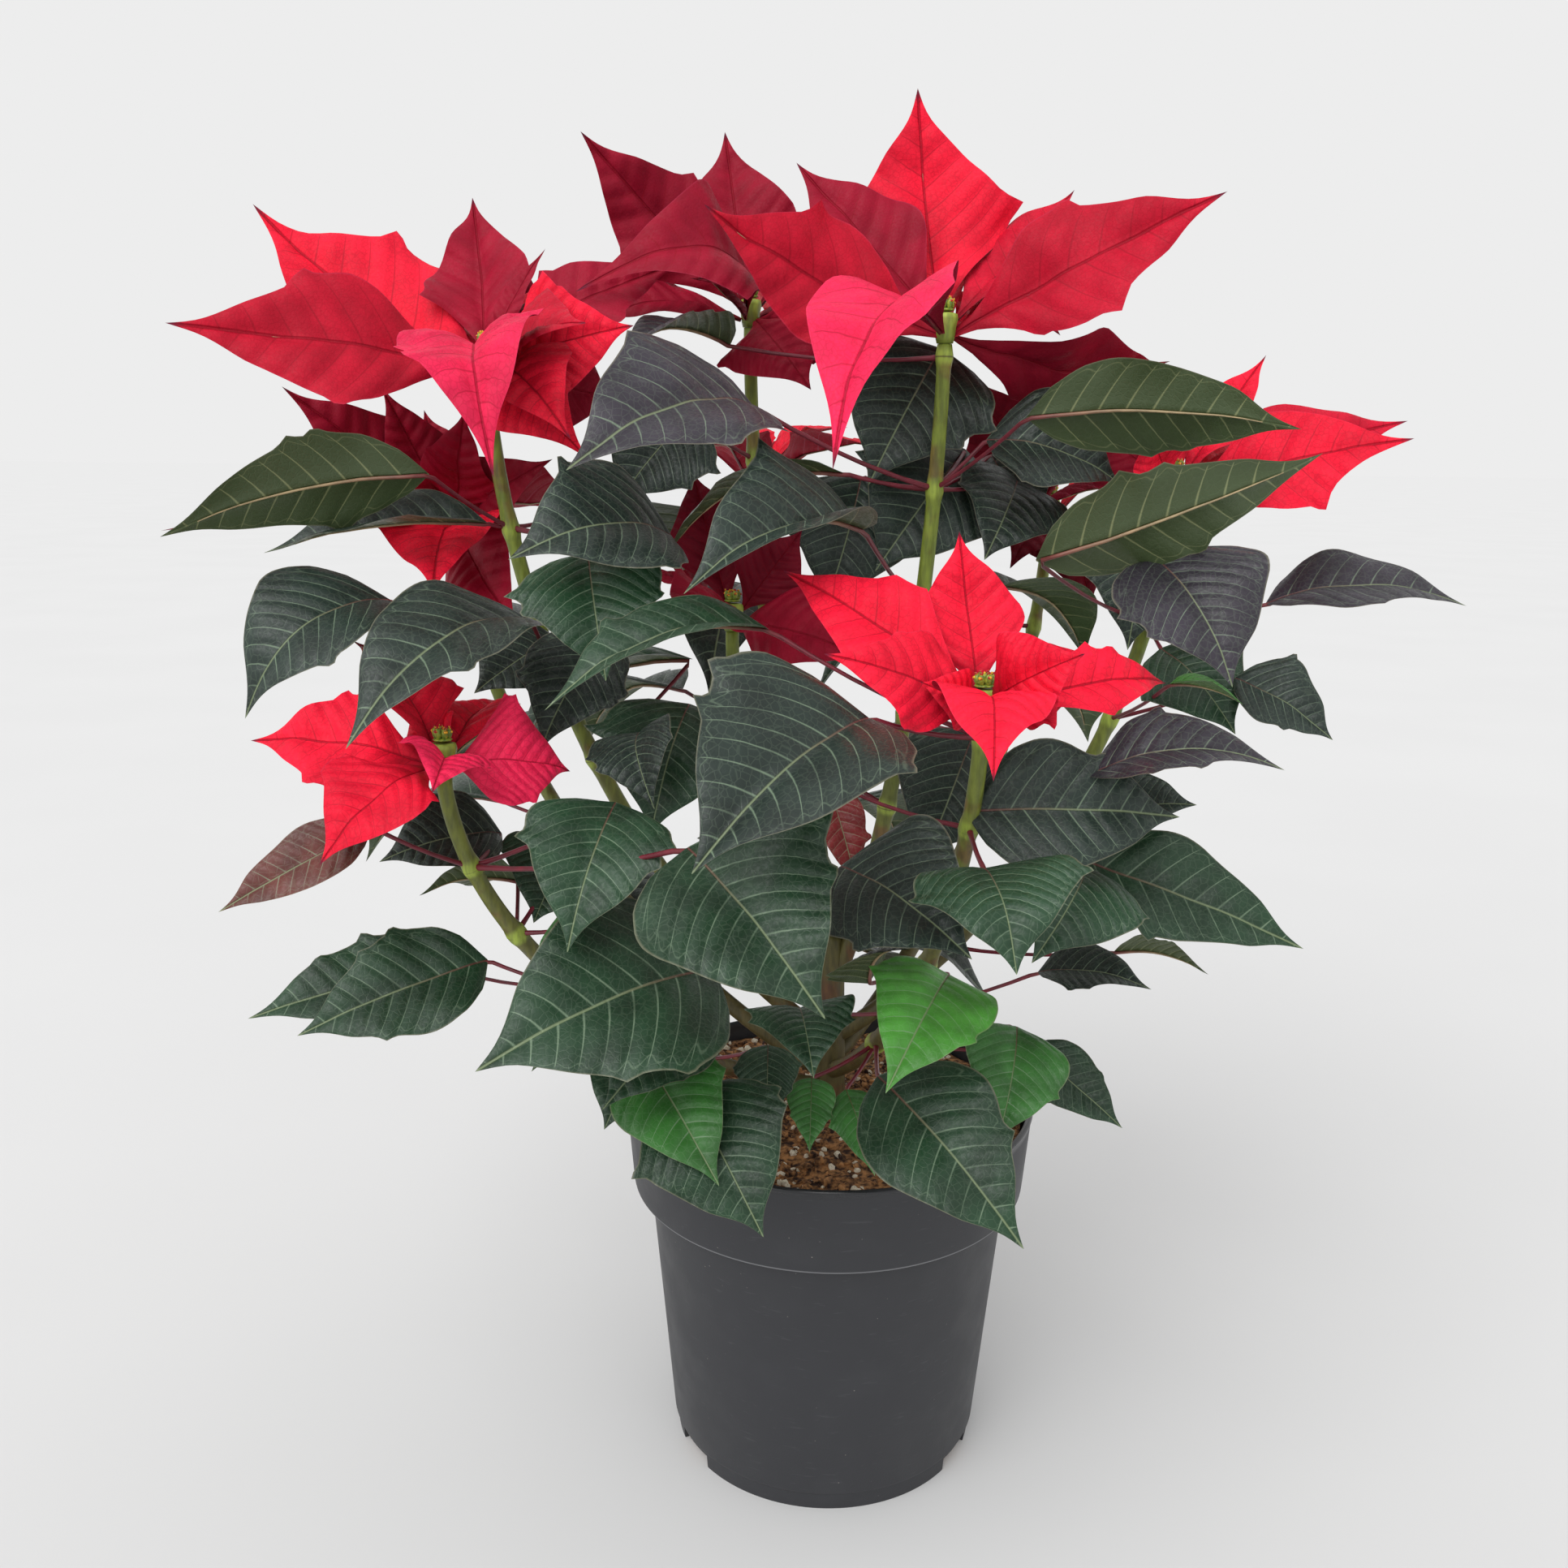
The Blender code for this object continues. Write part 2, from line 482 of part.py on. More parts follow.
def petiole_points(stem, foot, toward):
    """The ends of a leaf's stalk, from inside the stem to just inside the blade."""

    def cost(point):
        return (point - foot).length + DOWNWARD_COST * max(0.0, point.z - foot.z)

    return [min(stem[2:-1], key=cost), foot + (toward - foot).normalized() * PETIOLE_GRIP]


def hub_radius(height):
    """The hub's radius at this height above its middle."""
    share = 0.5 + height / HUB_HEIGHT
    return HUB_FOOT_RADIUS + (HUB_RADIUS - HUB_FOOT_RADIUS) * share


def rooted(bract_blade, head, index):
    """The bract with its foot set inside the hub, lower for the outer bracts."""
    centre = Vector(head.centre)
    outward = Vector(bract_blade.tip) - centre
    flat = Vector((outward.x, outward.y, 0.0)).normalized()
    height = 0.25 * HUB_HEIGHT * (1.0 if outward.z > 0.45 * outward.length else -1.0)
    root = BRACT_ROOT_SHARE * hub_radius(height)
    foot = centre + (flat * root + Vector((0.0, 0.0, height))) / MM
    return replace(bract_blade, name=f"{head.name}_bract_{index}", foot=tuple(foot))


def wild_leaves():
    """Leaves for the far side, set round each stem by the golden angle, inside the plant's reach."""
    leaves = []
    for number, head in enumerate(HEADS):
        stem = stem_points(head)
        for step, share in enumerate(FAR_SHARES):
            base = stem[round(share * (STEM_POINTS - 2))] / MM
            angle = FAR_START * number + step * GOLDEN_ANGLE
            outward = Vector((math.cos(angle), math.sin(angle), 0.0))
            foot = base + outward * FAR_PETIOLE_MM + Vector((0.0, 0.0, FAR_RISE_MM))
            length = FAR_LENGTH_MM * (1.0 - FAR_SHORTENING * share)
            tip = foot + outward * length * FAR_RUN - Vector((0.0, 0.0, length * FAR_DROP))
            if min(foot.y, tip.y) > FAR_SIDE_MM and tip.y < REACH_BEHIND_MM and abs(tip.x) < REACH_ASIDE_MM:
                name = f"far_{number}_{step}"
                leaves.append(Blade(name, tuple(foot), tuple(tip), length * FAR_WIDTH, UP, 0.16, 14, PLAIN))
    return leaves


class Thicket:
    """Everything placed so far, as search trees with the name of the node each belongs to."""

    def __init__(self):
        self.placed = []

    def add(self, node, points, faces, outer=None):
        """Keeps a solid; outer is the share of it that others of its own node must also miss."""
        whole = BVHTree.FromPolygons(points, faces)
        apart = BVHTree.FromPolygons(*outer) if outer else None
        low = Vector([min(point[axis] for point in points) for axis in range(3)])
        high = Vector([max(point[axis] for point in points) for axis in range(3)])
        self.placed.append((node, whole, apart, low, high))

    def blocked(self, node, points, faces, outer):
        whole = BVHTree.FromPolygons(points, faces)
        apart = BVHTree.FromPolygons(*outer)
        low = Vector([min(point[axis] for point in points) for axis in range(3)])
        high = Vector([max(point[axis] for point in points) for axis in range(3)])
        for other, tree, outer_tree, other_low, other_high in self.placed:
            if any(low[axis] > other_high[axis] or high[axis] < other_low[axis] for axis in range(3)):
                continue
            if other != node and whole.overlap(tree):
                return True
            if other == node and outer_tree and apart.overlap(outer_tree):
                return True
        return False


def joined(*parts):
    """Several lists of points and faces as one."""
    points, faces = [], []
    for more_points, more_faces in parts:
        offset = len(points)
        points += list(more_points)
        faces += [tuple(index + offset for index in face) for face in more_faces]
    return points, faces


def tube_faces(points, radius, sides=4):
    """A plain open tube round the points, for the search trees."""
    corners, faces = [], []
    for index, point in enumerate(points):
        ahead = (points[min(index + 1, len(points) - 1)] - points[max(index - 1, 0)]).normalized()
        side = ahead.cross(Vector((0.31, 0.22, 0.93))).normalized()
        over = side.cross(ahead)
        angles = [corner * math.tau / sides for corner in range(sides)]
        corners += [point + (side * math.cos(angle) + over * math.sin(angle)) * radius for angle in angles]
    for index in range(len(points) - 1):
        for corner in range(sides):
            base, following = sides * index + corner, sides * index + (corner + 1) % sides
            faces.append((base, following, following + sides, base + sides))
    return corners, faces


def blade_shapes(blade, extra, petiole=None):
    """The blade's two faces, grown by the extra clearance, whole and without its first rows."""
    wider = replace(blade, width=blade.width + 2.0 * extra / MM)
    lift = 0.5 * BLADE_THICKNESS + extra
    whole = joined(blade_sheet(wider, lift), blade_sheet(wider, -lift))
    outer = joined(blade_sheet(wider, lift, 1), blade_sheet(wider, -lift, 1))
    if petiole:
        whole = joined(whole, tube_faces(petiole, PETIOLE_BASE_RADIUS + extra))
    return whole, outer


def settle_bracts(thicket, head):
    """The head's bracts, each swung clear of what is placed already; one with no room isn't grown."""
    settled = []
    for index, plain in enumerate(head.bracts):
        for swing in SWINGS:
            blade = swung(rooted(plain, head, index), *swing)
            whole, outer = blade_shapes(blade, CLEARANCE)
            if not thicket.blocked("head_" + head.name, *whole, outer):
                plain, plain_outer = blade_shapes(blade, 0.0)
                thicket.add("head_" + head.name, *plain, plain_outer)
                settled.append(blade)
                break
    return settled


def settle_leaf(thicket, blade, stems, swings):
    """(stem name, blade, petiole) for the first stem and swing that leave the leaf clear, or None."""
    foot = Vector(blade.foot) * MM
    nearest = sorted(stems, key=lambda name: min((point - foot).length for point in stems[name][2:-1]))
    for swing in swings:
        turned = swung(blade, *swing)
        for name in nearest[:4]:
            petiole = petiole_points(stems[name], foot, Vector(turned.tip) * MM)
            whole, outer = blade_shapes(turned, CLEARANCE, petiole)
            if not thicket.blocked("leafy_" + name, *whole, outer):
                plain, plain_outer = blade_shapes(turned, 0.0, petiole)
                thicket.add("leafy_" + name, *plain, plain_outer)
                return name, turned, petiole
    return None


def fuse(name, bodies, parts_collection):
    """One closed body from several that cross: a Boolean union on their collection, applied."""
    group = bpy.data.collections.new(name + "_bodies")
    bpy.context.scene.collection.children.link(group)
    first, *rest = bodies
    for body in rest:
        for home in list(body.users_collection):
            home.objects.unlink(body)
        group.objects.link(body)
    union = first.modifiers.new("Union", "BOOLEAN")
    union.operation = "UNION"
    union.operand_type = "COLLECTION"
    union.collection = group
    mesh = evaluated_mesh(first)
    for body in rest:
        bpy.data.objects.remove(body)
    bpy.data.collections.remove(group)
    return new_object(name, mesh, parts_collection)


def subtract(obj, cutter):
    """Adds a Boolean difference that takes the cutter out of the object."""
    cut = obj.modifiers.new("Cut " + cutter.name, "BOOLEAN")
    cut.operation = "DIFFERENCE"
    cut.object = cutter


def cutter_object(name, bm, collection):
    obj = new_object(name, mesh_from(name, bm), collection)
    obj.hide_render = True
    obj.display_type = "WIRE"
    return obj


def turned_object(name, profile, steps, collection):
    """A profile of (radius, height) points turned round the Z axis."""
    bm = bmesh.new()
    vertices = [bm.verts.new((radius, 0.0, height)) for radius, height in profile]
    for start, end in zip(vertices, vertices[1:]):
        bm.edges.new((start, end))
    obj = new_object(name, mesh_from(name, bm), collection)
    screw = obj.modifiers.new("Turn", "SCREW")
    screw.axis = "Z"
    screw.steps = steps
    screw.render_steps = steps
    screw.use_merge_vertices = True
    screw.merge_threshold = 0.00005
    return obj


def material(name, colour, roughness, metallic=0.0):
    made = bpy.data.materials.new(name)
    made.use_nodes = True
    shader = made.node_tree.nodes["Principled BSDF"]
    shader.inputs["Base Color"].default_value = (*colour, 1.0)
    shader.inputs["Roughness"].default_value = roughness
    shader.inputs["Metallic"].default_value = metallic
    return made


def body_radius(height):
    """The outer radius of the pot's tapered body."""
    share = (height - FOOT_HEIGHT) / (COLLAR_FOOT_HEIGHT - FOOT_HEIGHT)
    low = FOOT_RADIUS + FOOT_STEP
    return low + (BODY_TOP_RADIUS - low) * share


def pot_profile():
    """Rim, collar, body and foot down the outside, then the floor and the inside up to the rim."""
    inner_rim = RIM_RADIUS - WALL
    return (
        (RIM_RADIUS - LIP, RIM_HEIGHT),
        (RIM_RADIUS - 0.3 * LIP, RIM_HEIGHT - 0.2 * LIP),
        (RIM_RADIUS, RIM_HEIGHT - 0.9 * LIP),
        (RIM_RADIUS - 0.0006, RIM_HEIGHT - 2.6 * LIP),
        (COLLAR_FOOT_RADIUS, COLLAR_FOOT_HEIGHT + COLLAR_STEP),
        (COLLAR_FOOT_RADIUS - 0.0010, COLLAR_FOOT_HEIGHT),
        (BODY_TOP_RADIUS, COLLAR_FOOT_HEIGHT - COLLAR_STEP),
        (body_radius(FOOT_HEIGHT), FOOT_HEIGHT),
        (FOOT_RADIUS, FOOT_HEIGHT - FOOT_DRAFT),
        (FOOT_RADIUS - FOOT_DRAFT, 0.0),
        (FOOT_RADIUS - FOOT_DRAFT - FOOT_WIDTH, 0.0),
        (FOOT_RADIUS - 2.0 * FOOT_DRAFT - FOOT_WIDTH, FLOOR_HEIGHT - WALL),
        (0.0, FLOOR_HEIGHT - WALL),
        (0.0, FLOOR_HEIGHT),
        (inner_radius(FLOOR_HEIGHT), FLOOR_HEIGHT),
        (BODY_TOP_RADIUS - WALL, COLLAR_FOOT_HEIGHT + 0.0008),
        (COLLAR_FOOT_RADIUS - WALL, COLLAR_FOOT_HEIGHT + WALL),
        (inner_rim - 0.0010, RIM_HEIGHT - 2.6 * LIP),
        (inner_rim - 0.0014, RIM_HEIGHT - 0.6 * LIP),
        (RIM_RADIUS - LIP, RIM_HEIGHT),
    )


def inner_radius(height):
    """The radius of the pot's inside below the collar."""
    return body_radius(height) - WALL


def make_pot(parts, cutters):
    """The nursery pot, with three notches between its feet and a ring of drain holes."""
    pot = turned_object("pot", pot_profile(), POT_STEPS, parts)
    bm = bmesh.new()
    for index in range(NOTCHES):
        turn = Matrix.Rotation(NOTCH_FACING + index * math.tau / NOTCHES, 4, "Z")
        size = Matrix.Diagonal((NOTCH_DEPTH, NOTCH_WIDTH, 2.0 * NOTCH_HEIGHT, 1.0))
        place = turn @ Matrix.Translation((FOOT_RADIUS, 0.0, 0.0)) @ size
        bmesh.ops.create_cube(bm, size=1.0, matrix=place)
    subtract(pot, cutter_object("notch_cutter", bm, cutters))
    bm = bmesh.new()
    for index in range(DRAIN_HOLES):
        turn = Matrix.Rotation((index + 0.5) * math.tau / DRAIN_HOLES, 4, "Z")
        place = turn @ Matrix.Translation((DRAIN_RING_RADIUS, 0.0, FLOOR_HEIGHT))
        bmesh.ops.create_cone(
            bm,
            cap_ends=True,
            segments=DRAIN_HOLE_SIDES,
            radius1=DRAIN_HOLE_RADIUS,
            radius2=DRAIN_HOLE_RADIUS,
            depth=4 * WALL,
            matrix=place,
        )
    subtract(pot, cutter_object("drain_cutter", bm, cutters))
    return pot


def make_soil(parts, cutters):
    """The soil that fills the pot, a little bumpy on top, with a plain hole for the trunk."""
    gap = SEAT_GAP
    low = FLOOR_HEIGHT + gap
    hole_depth = 2.0 * (SOIL_EDGE_HEIGHT - TRUNK_FOOT)
    profile = (
        (0.0, SOIL_EDGE_HEIGHT + SOIL_MOUND),
        (0.020, SOIL_EDGE_HEIGHT + 0.95 * SOIL_MOUND),
        (0.042, SOIL_EDGE_HEIGHT + 0.75 * SOIL_MOUND),
        (0.064, SOIL_EDGE_HEIGHT + 0.40 * SOIL_MOUND),
        (0.080, SOIL_EDGE_HEIGHT + 0.10 * SOIL_MOUND),
        (SOIL_FIT * (SOIL_EDGE_RADIUS - gap), SOIL_EDGE_HEIGHT),
        (SOIL_FIT * (COLLAR_FOOT_RADIUS - WALL - gap), COLLAR_FOOT_HEIGHT + WALL + SOIL_SHELF),
        (SOIL_FIT * (BODY_TOP_RADIUS - WALL - gap), COLLAR_FOOT_HEIGHT + SOIL_SHELF),
        (SOIL_FIT * (inner_radius(low) - gap), low),
        (0.0, low),
    )
    soil = new_object("soil", evaluated_mesh(turned_object("soil", profile, SOIL_STEPS, parts)), parts)
    for vertex in soil.data.vertices:
        radius = math.hypot(vertex.co.x, vertex.co.y)
        if vertex.co.z > SOIL_EDGE_HEIGHT - 1e-5 and radius > SOIL_CALM_RADIUS:
            angle = math.atan2(vertex.co.y, vertex.co.x)
            wide, narrow = math.sin(5 * angle + 90 * radius), math.sin(9 * angle - 210 * radius)
            vertex.co.z += SOIL_BUMP * (wide + narrow)
    bm = bmesh.new()
    bmesh.ops.create_cone(
        bm,
        cap_ends=True,
        segments=TRUNK_SIDES,
        radius1=TRUNK_RADIUS + gap,
        radius2=TRUNK_RADIUS + gap,
        depth=hole_depth,
        matrix=Matrix.Translation((0.0, 0.0, TRUNK_FOOT - gap + 0.5 * hole_depth)),
    )
    subtract(soil, cutter_object("trunk_hole_cutter", bm, cutters))
    return soil


def trunk_profile(extra=0.0):
    """The trunk from its foot in the soil to the dry stub where its tip was pinched out."""
    return (
        (0.0, TRUNK_TOP + extra),
        (0.0044 + extra, TRUNK_TOP + extra),
        (0.0056 + extra, TRUNK_TOP - 0.0030),
        (0.0062 + extra, TRUNK_TOP - 0.0200),
        (TRUNK_RADIUS - 0.0002 + extra, TRUNK_FOOT + 0.0600),
        (TRUNK_RADIUS + extra, TRUNK_FOOT + 0.0350),
        (TRUNK_RADIUS - 0.0010 + extra, TRUNK_FOOT - extra),
        (0.0, TRUNK_FOOT - extra),
    )


def make_trunk(parts, cutters):
    """The trunk, and the slightly larger copy of it that hollows the feet of the stems to fit."""
    trunk = turned_object("trunk", trunk_profile(), TRUNK_SIDES, parts)
    seat = turned_object("trunk_seat_cutter", trunk_profile(SEAT_GAP), TRUNK_SIDES, cutters)
    seat.hide_render = True
    seat.display_type = "WIRE"
    return trunk, seat


def hub_frame(head, height):
    return Matrix.Translation(Vector(head.centre) * MM + Vector((0.0, 0.0, height)))


def make_head(head, blades, parts):
    """The hub on top of a stem with its bracts, as one body."""
    bm = bmesh.new()
    bmesh.ops.create_cone(
        bm,
        cap_ends=True,
        segments=HUB_SIDES,
        radius1=HUB_FOOT_RADIUS,
        radius2=HUB_RADIUS,
        depth=HUB_HEIGHT,
        matrix=hub_frame(head, 0.0),
    )
    hub = new_object("hub", mesh_from("hub", bm), parts)
    return fuse("head_" + head.name, [hub] + [blade_object(blade, parts) for blade in blades], parts)


def make_cyathia(head, parts):
    """The small green flower cups on the hub: one in the middle and a leaning ring, on a low cushion."""
    middle = hub_frame(head, 0.5 * (HUB_HEIGHT + CUSHION_HEIGHT) + SEAT_GAP)
    bm = bmesh.new()
    bmesh.ops.create_cone(
        bm,
        cap_ends=True,
        segments=CUSHION_SIDES,
        radius1=CUSHION_RADIUS,
        radius2=0.78 * CUSHION_RADIUS,
        depth=CUSHION_HEIGHT,
        matrix=middle,
    )
    bodies = [new_object("cushion", mesh_from("cushion", bm), parts)]
    for index in range(CYATHIA):
        lean = 0.0 if index == 0 else CYATHIUM_LEAN
        ring_place = 0.0 if index == 0 else CYATHIA_RING
        turn = Matrix.Rotation(index * math.tau / (CYATHIA - 1), 4, "Z")
        aside = Matrix.Translation((ring_place, 0.0, 0.0))
        raised = Matrix.Translation((0.0, 0.0, 0.5 * CYATHIUM_HEIGHT))
        upright = middle @ turn @ aside @ Matrix.Rotation(lean, 4, "Y") @ raised
        bm = bmesh.new()
        bmesh.ops.create_cone(
            bm,
            cap_ends=True,
            segments=CYATHIUM_SIDES,
            radius1=0.60 * CYATHIUM_RADIUS,
            radius2=0.85 * CYATHIUM_RADIUS,
            depth=CYATHIUM_HEIGHT,
            matrix=upright,
        )
        bodies.append(new_object("cyathium", mesh_from("cyathium", bm), parts))
    return fuse("cyathia_" + head.name, bodies, parts)


def make_leafy_stem(head, leaves, seat, parts):
    """A stem with its leaf stalks and blades, as one body, its foot hollowed to fit the trunk."""
    stem = new_object("stem", tube_mesh("stem", stem_points(head), stem_radii(), 1, parts), parts)
    bodies = [stem]
    for blade, petiole in leaves:
        radii = (PETIOLE_BASE_RADIUS, PETIOLE_RADIUS)
        bodies.append(new_object("petiole", tube_mesh("petiole", petiole, radii, 0, parts), parts))
        bodies.append(blade_object(blade, parts))
    leafy = fuse("leafy_" + head.name, bodies, parts)
    subtract(leafy, seat)
    return leafy


def settle_all():
    """Where every blade ends up: bracts by head, and leaves with their petioles by stem."""
    thicket = Thicket()
    stems = {head.name: stem_points(head) for head in HEADS}
    for name, points in stems.items():
        thicket.add("leafy_" + name, *tube_faces(points, STEM_BASE_RADIUS + CLEARANCE, 8))
    for head in HEADS:
        low = Vector(head.centre) * MM - Vector((0.0, 0.0, 0.5 * HUB_HEIGHT))
        hub_top = low + Vector((0.0, 0.0, HUB_HEIGHT))
        cups_top = hub_top + Vector((0.0, 0.0, 1.5 * CYATHIUM_HEIGHT))
        thicket.add("head_" + head.name, *tube_faces([low, hub_top], HUB_RADIUS + CLEARANCE, 8))
        thicket.add("cyathia_" + head.name, *tube_faces([hub_top, cups_top], CYATHIA_RADIUS, 8))
    bracts = {head.name: settle_bracts(thicket, head) for head in HEADS}
    leaves = {head.name: [] for head in HEADS}
    tries = [(leaf, SWINGS) for leaf in LEAVES] + [(leaf, SWINGS[:FAR_TRIES]) for leaf in wild_leaves()]
    for blade, swings in tries:
        found = settle_leaf(thicket, blade, stems, swings)
        if found:
            name, turned, petiole = found
            leaves[name].append((turned, petiole))
    return bracts, leaves


def clear_scene():
    for obj in list(bpy.data.objects):
        bpy.data.objects.remove(obj)


def main():
    clear_scene()
    scene = bpy.context.scene
    parts = bpy.data.collections.new("poinsettia")
    cutters = bpy.data.collections.new("cutters")
    scene.collection.children.link(parts)
    scene.collection.children.link(cutters)
    black = material("black pot plastic", (0.035, 0.036, 0.040), 0.55)
    peat = material("peat and bark", (0.12, 0.06, 0.03), 0.95)
    bark = material("green-brown stem", (0.22, 0.20, 0.06), 0.65)
    green = material("dark green leaf", (0.020, 0.060, 0.025), 0.45)
    red = material("scarlet bract", (0.75, 0.010, 0.030), 0.5)
    lime = material("yellow-green cyathia", (0.45, 0.50, 0.05), 0.5)
    make_pot(parts, cutters).data.materials.append(black)
    make_soil(parts, cutters).data.materials.append(peat)
    trunk, seat = make_trunk(parts, cutters)
    trunk.data.materials.append(bark)
    bracts, leaves = settle_all()
    for head in HEADS:
        for made, look in (
            (make_head(head, bracts[head.name], parts), red),
            (make_cyathia(head, parts), lime),
            (make_leafy_stem(head, leaves[head.name], seat, parts), green),
        ):
            made.data.materials.clear()
            made.data.materials.append(look)


if __name__ == "__main__":
    main()
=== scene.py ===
"""The looks of a potted poinsettia: fine leaves, bracts, stems, flower cups, soil and pot over its solids.

Lengths are metres, but for the tables of heads and leaves and for names that end in _mm, which are in
millimetres. +Z is up, and the plant's front faces -Y. The leaves and bracts are the same ones as in the
solids, named and placed in the same way, and each looks up in its solid how far it was swung clear of its
neighbours.
"""

import logging
import math
import random
from collections.abc import Sequence
from dataclasses import dataclass, field, replace
from enum import Enum
from functools import partial

import bmesh
import bpy
from mathutils import Matrix, Vector, noise
from mathutils.bvhtree import BVHTree


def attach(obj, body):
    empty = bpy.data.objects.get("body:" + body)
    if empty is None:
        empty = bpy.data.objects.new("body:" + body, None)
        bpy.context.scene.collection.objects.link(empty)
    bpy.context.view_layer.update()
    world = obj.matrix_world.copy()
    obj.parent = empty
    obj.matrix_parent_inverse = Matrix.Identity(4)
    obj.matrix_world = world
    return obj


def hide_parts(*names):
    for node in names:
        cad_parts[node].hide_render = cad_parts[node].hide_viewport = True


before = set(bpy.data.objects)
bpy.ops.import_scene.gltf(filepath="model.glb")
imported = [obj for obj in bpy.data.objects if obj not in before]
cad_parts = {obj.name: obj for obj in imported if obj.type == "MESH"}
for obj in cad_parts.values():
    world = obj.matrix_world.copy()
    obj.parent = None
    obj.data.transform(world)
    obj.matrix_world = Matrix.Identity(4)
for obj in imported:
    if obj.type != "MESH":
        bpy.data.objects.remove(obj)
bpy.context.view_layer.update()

LOG = logging.getLogger("poinsettia")
BODY = "root"
MM = 0.001
METRE_MM = 1000.0
Triple = tuple[float, float, float]
Outline = tuple[tuple[float, float], ...]

# Where each outline is how wide: share of the length along the midrib, share of the largest half width.
LEAF: Outline = ((0.0, 0.015), (0.12, 0.72), (0.38, 1.0), (0.72, 0.54), (1.0, 0.0))
PLAIN: Outline = ((0.0, 0.015), (0.16, 0.80), (0.46, 1.0), (1.0, 0.0))
SHOULDERED: Outline = ((0.0, 0.015), (0.12, 0.62), (0.32, 1.0), (0.46, 0.76), (0.62, 0.66), (1.0, 0.0))
BRACT: Outline = ((0.0, 0.04), (0.14, 0.17), (0.44, 1.0), (0.78, 0.36), (1.0, 0.0))
HEART: Outline = ((0.0, 0.04), (0.13, 0.24), (0.36, 1.0), (0.62, 0.72), (0.84, 0.26), (1.0, 0.0))


def front(rise: float) -> Triple:
    """The direction straight to the front, tilted up by this much on 1."""
    return (0.0, -1.0, rise)


# Which way a blade's upper face looks.
UP: Triple = (0.0, 0.0, 1.0)
FRONT: Triple = front(0.15)
FRONT_UP: Triple = front(1.0)
FRONT_LEFT: Triple = (-1.0, -1.0, 0.4)
BACK_UP: Triple = (0.0, 1.0, 1.0)

SWING_TURNS = (0, 6, -6, 12, -12, 20, -20, 30, -30)
SWING_LIFTS = (0, 6, -6, 12, -12, 20, -20, 30)
SWINGS = tuple((turn, lift) for turn in SWING_TURNS for lift in SWING_LIFTS)
GOLDEN_ANGLE = math.radians(137.5)


def linear(hex_colour: str) -> tuple[float, float, float, float]:
    """Turns an sRGB colour into the linear values that the shaders take.

    Args:
        hex_colour: the colour as "#RRGGBB".

    Returns:
        Linear red, green and blue, and an alpha of 1.
    """
    channels = [int(hex_colour[start : start + 2], 16) / 255.0 for start in (1, 3, 5)]
    return (*(c / 12.92 if c <= 0.04045 else ((c + 0.055) / 1.055) ** 2.4 for c in channels), 1.0)


class Tone(Enum):
    """The colour that a leaf or bract has on its upper face, before veins, edges and mottling; the three
    darker bract reds are the bract red with painted shade.
    """

    DARK = "#1E2B25"
    PURPLE = "#2F2A33"
    GREEN = "#1D3A24"
    BRIGHT = "#37702F"
    LIME = "#4C9436"
    OLIVE = "#3C422C"
    RED_GREEN = "#5E302A"
    WITHERED = "#7E1E20"
    SCARLET = "#F01A38"
    ROSE = "#E42550"
    # The next three reds are painted shade: the bract red made darker for bracts half in shade, in shade and
    # deep inside the plant.
    CRIMSON = "#C4122F"
    DEEP = "#98102C"
    WINE = "#6E0A20"


@dataclass(frozen=True)
class Blade:
    """One leaf or bract, from its foot to its tip in millimetres, with its full width and its fold."""

    name: str
    foot: tuple
    tip: tuple
    width: float
    face: tuple = UP
    bow: float = 0.10
    fold: float = 16.0
    outline: Outline = LEAF
    tone: Tone = Tone.DARK

    @property
    def reach(self) -> Vector:
        """From the foot to the tip, in metres."""
        return (Vector(self.tip) - Vector(self.foot)) * MM

    def swung(self, turn: float, lift: float) -> "Blade":
        """Turns the blade about its foot.

        Args:
            turn: sideways, in degrees.
            lift: upwards, in degrees.

        Returns:
            The turned blade.
        """
        foot = Vector(self.foot)
        reach = Vector(self.tip) - foot
        spin = Matrix.Rotation(math.radians(turn), 3, "Z")
        side = reach.cross(Vector(UP))
        upright = side.length <= 1e-6
        tilt = Matrix.Identity(3) if upright else Matrix.Rotation(math.radians(lift), 3, side)
        both = spin @ tilt
        return replace(self, tip=tuple(foot + both @ reach), face=tuple(both @ Vector(self.face)))

    def axes(self) -> tuple[Vector, Vector]:
        """Works out the blade's own directions.

        Returns:
            The directions to its right and out of its upper face.
        """
        axis = self.reach.normalized()
        normal = Vector(self.face)
        normal = (normal - axis * normal.dot(axis)).normalized()
        return axis.cross(normal), normal

    def plain_share(self, along: float) -> float:
        """The half width of the solid, straight between the outline's points.

        Args:
            along: the share of the length.

        Returns:
            The half width as a share of the largest.
        """
        for (start, low), (end, high) in zip(self.outline, self.outline[1:]):
            if along <= end:
                return low + (high - low) * (along - start) / (end - start)
        return 0.0

    def plain_point(self, along: float, across: float) -> Vector:
        """A point of the solid's middle surface.

        Args:
            along: the share of its length.
            across: from -1 at the left margin to 1 at the right one.

        Returns:
            The point, in metres.
        """
        side, normal = self.axes()
        half = 0.5 * self.width * MM * self.plain_share(along)
        fold = math.radians(self.fold)
        rise = self.arch(along) + half * abs(across) * math.sin(fold) + self.wave(along, across, half)
        middle = Vector(self.foot) * MM + self.reach * along
        return middle + side * (across * half * math.cos(fold)) + normal * rise

    def arch(self, along: float) -> float:
        """How high the bowed midrib stands over the straight line from foot to tip."""
        return self.bow * self.reach.length * 4.0 * along * (1.0 - along)

    def wave(self, along: float, across: float, half: float) -> float:
        """How far the slow wave lifts a point, where the blade is this wide on either side."""
        return 0.04 * half * math.sin(3.0 * math.pi * along + 0.9 * across) * abs(across)


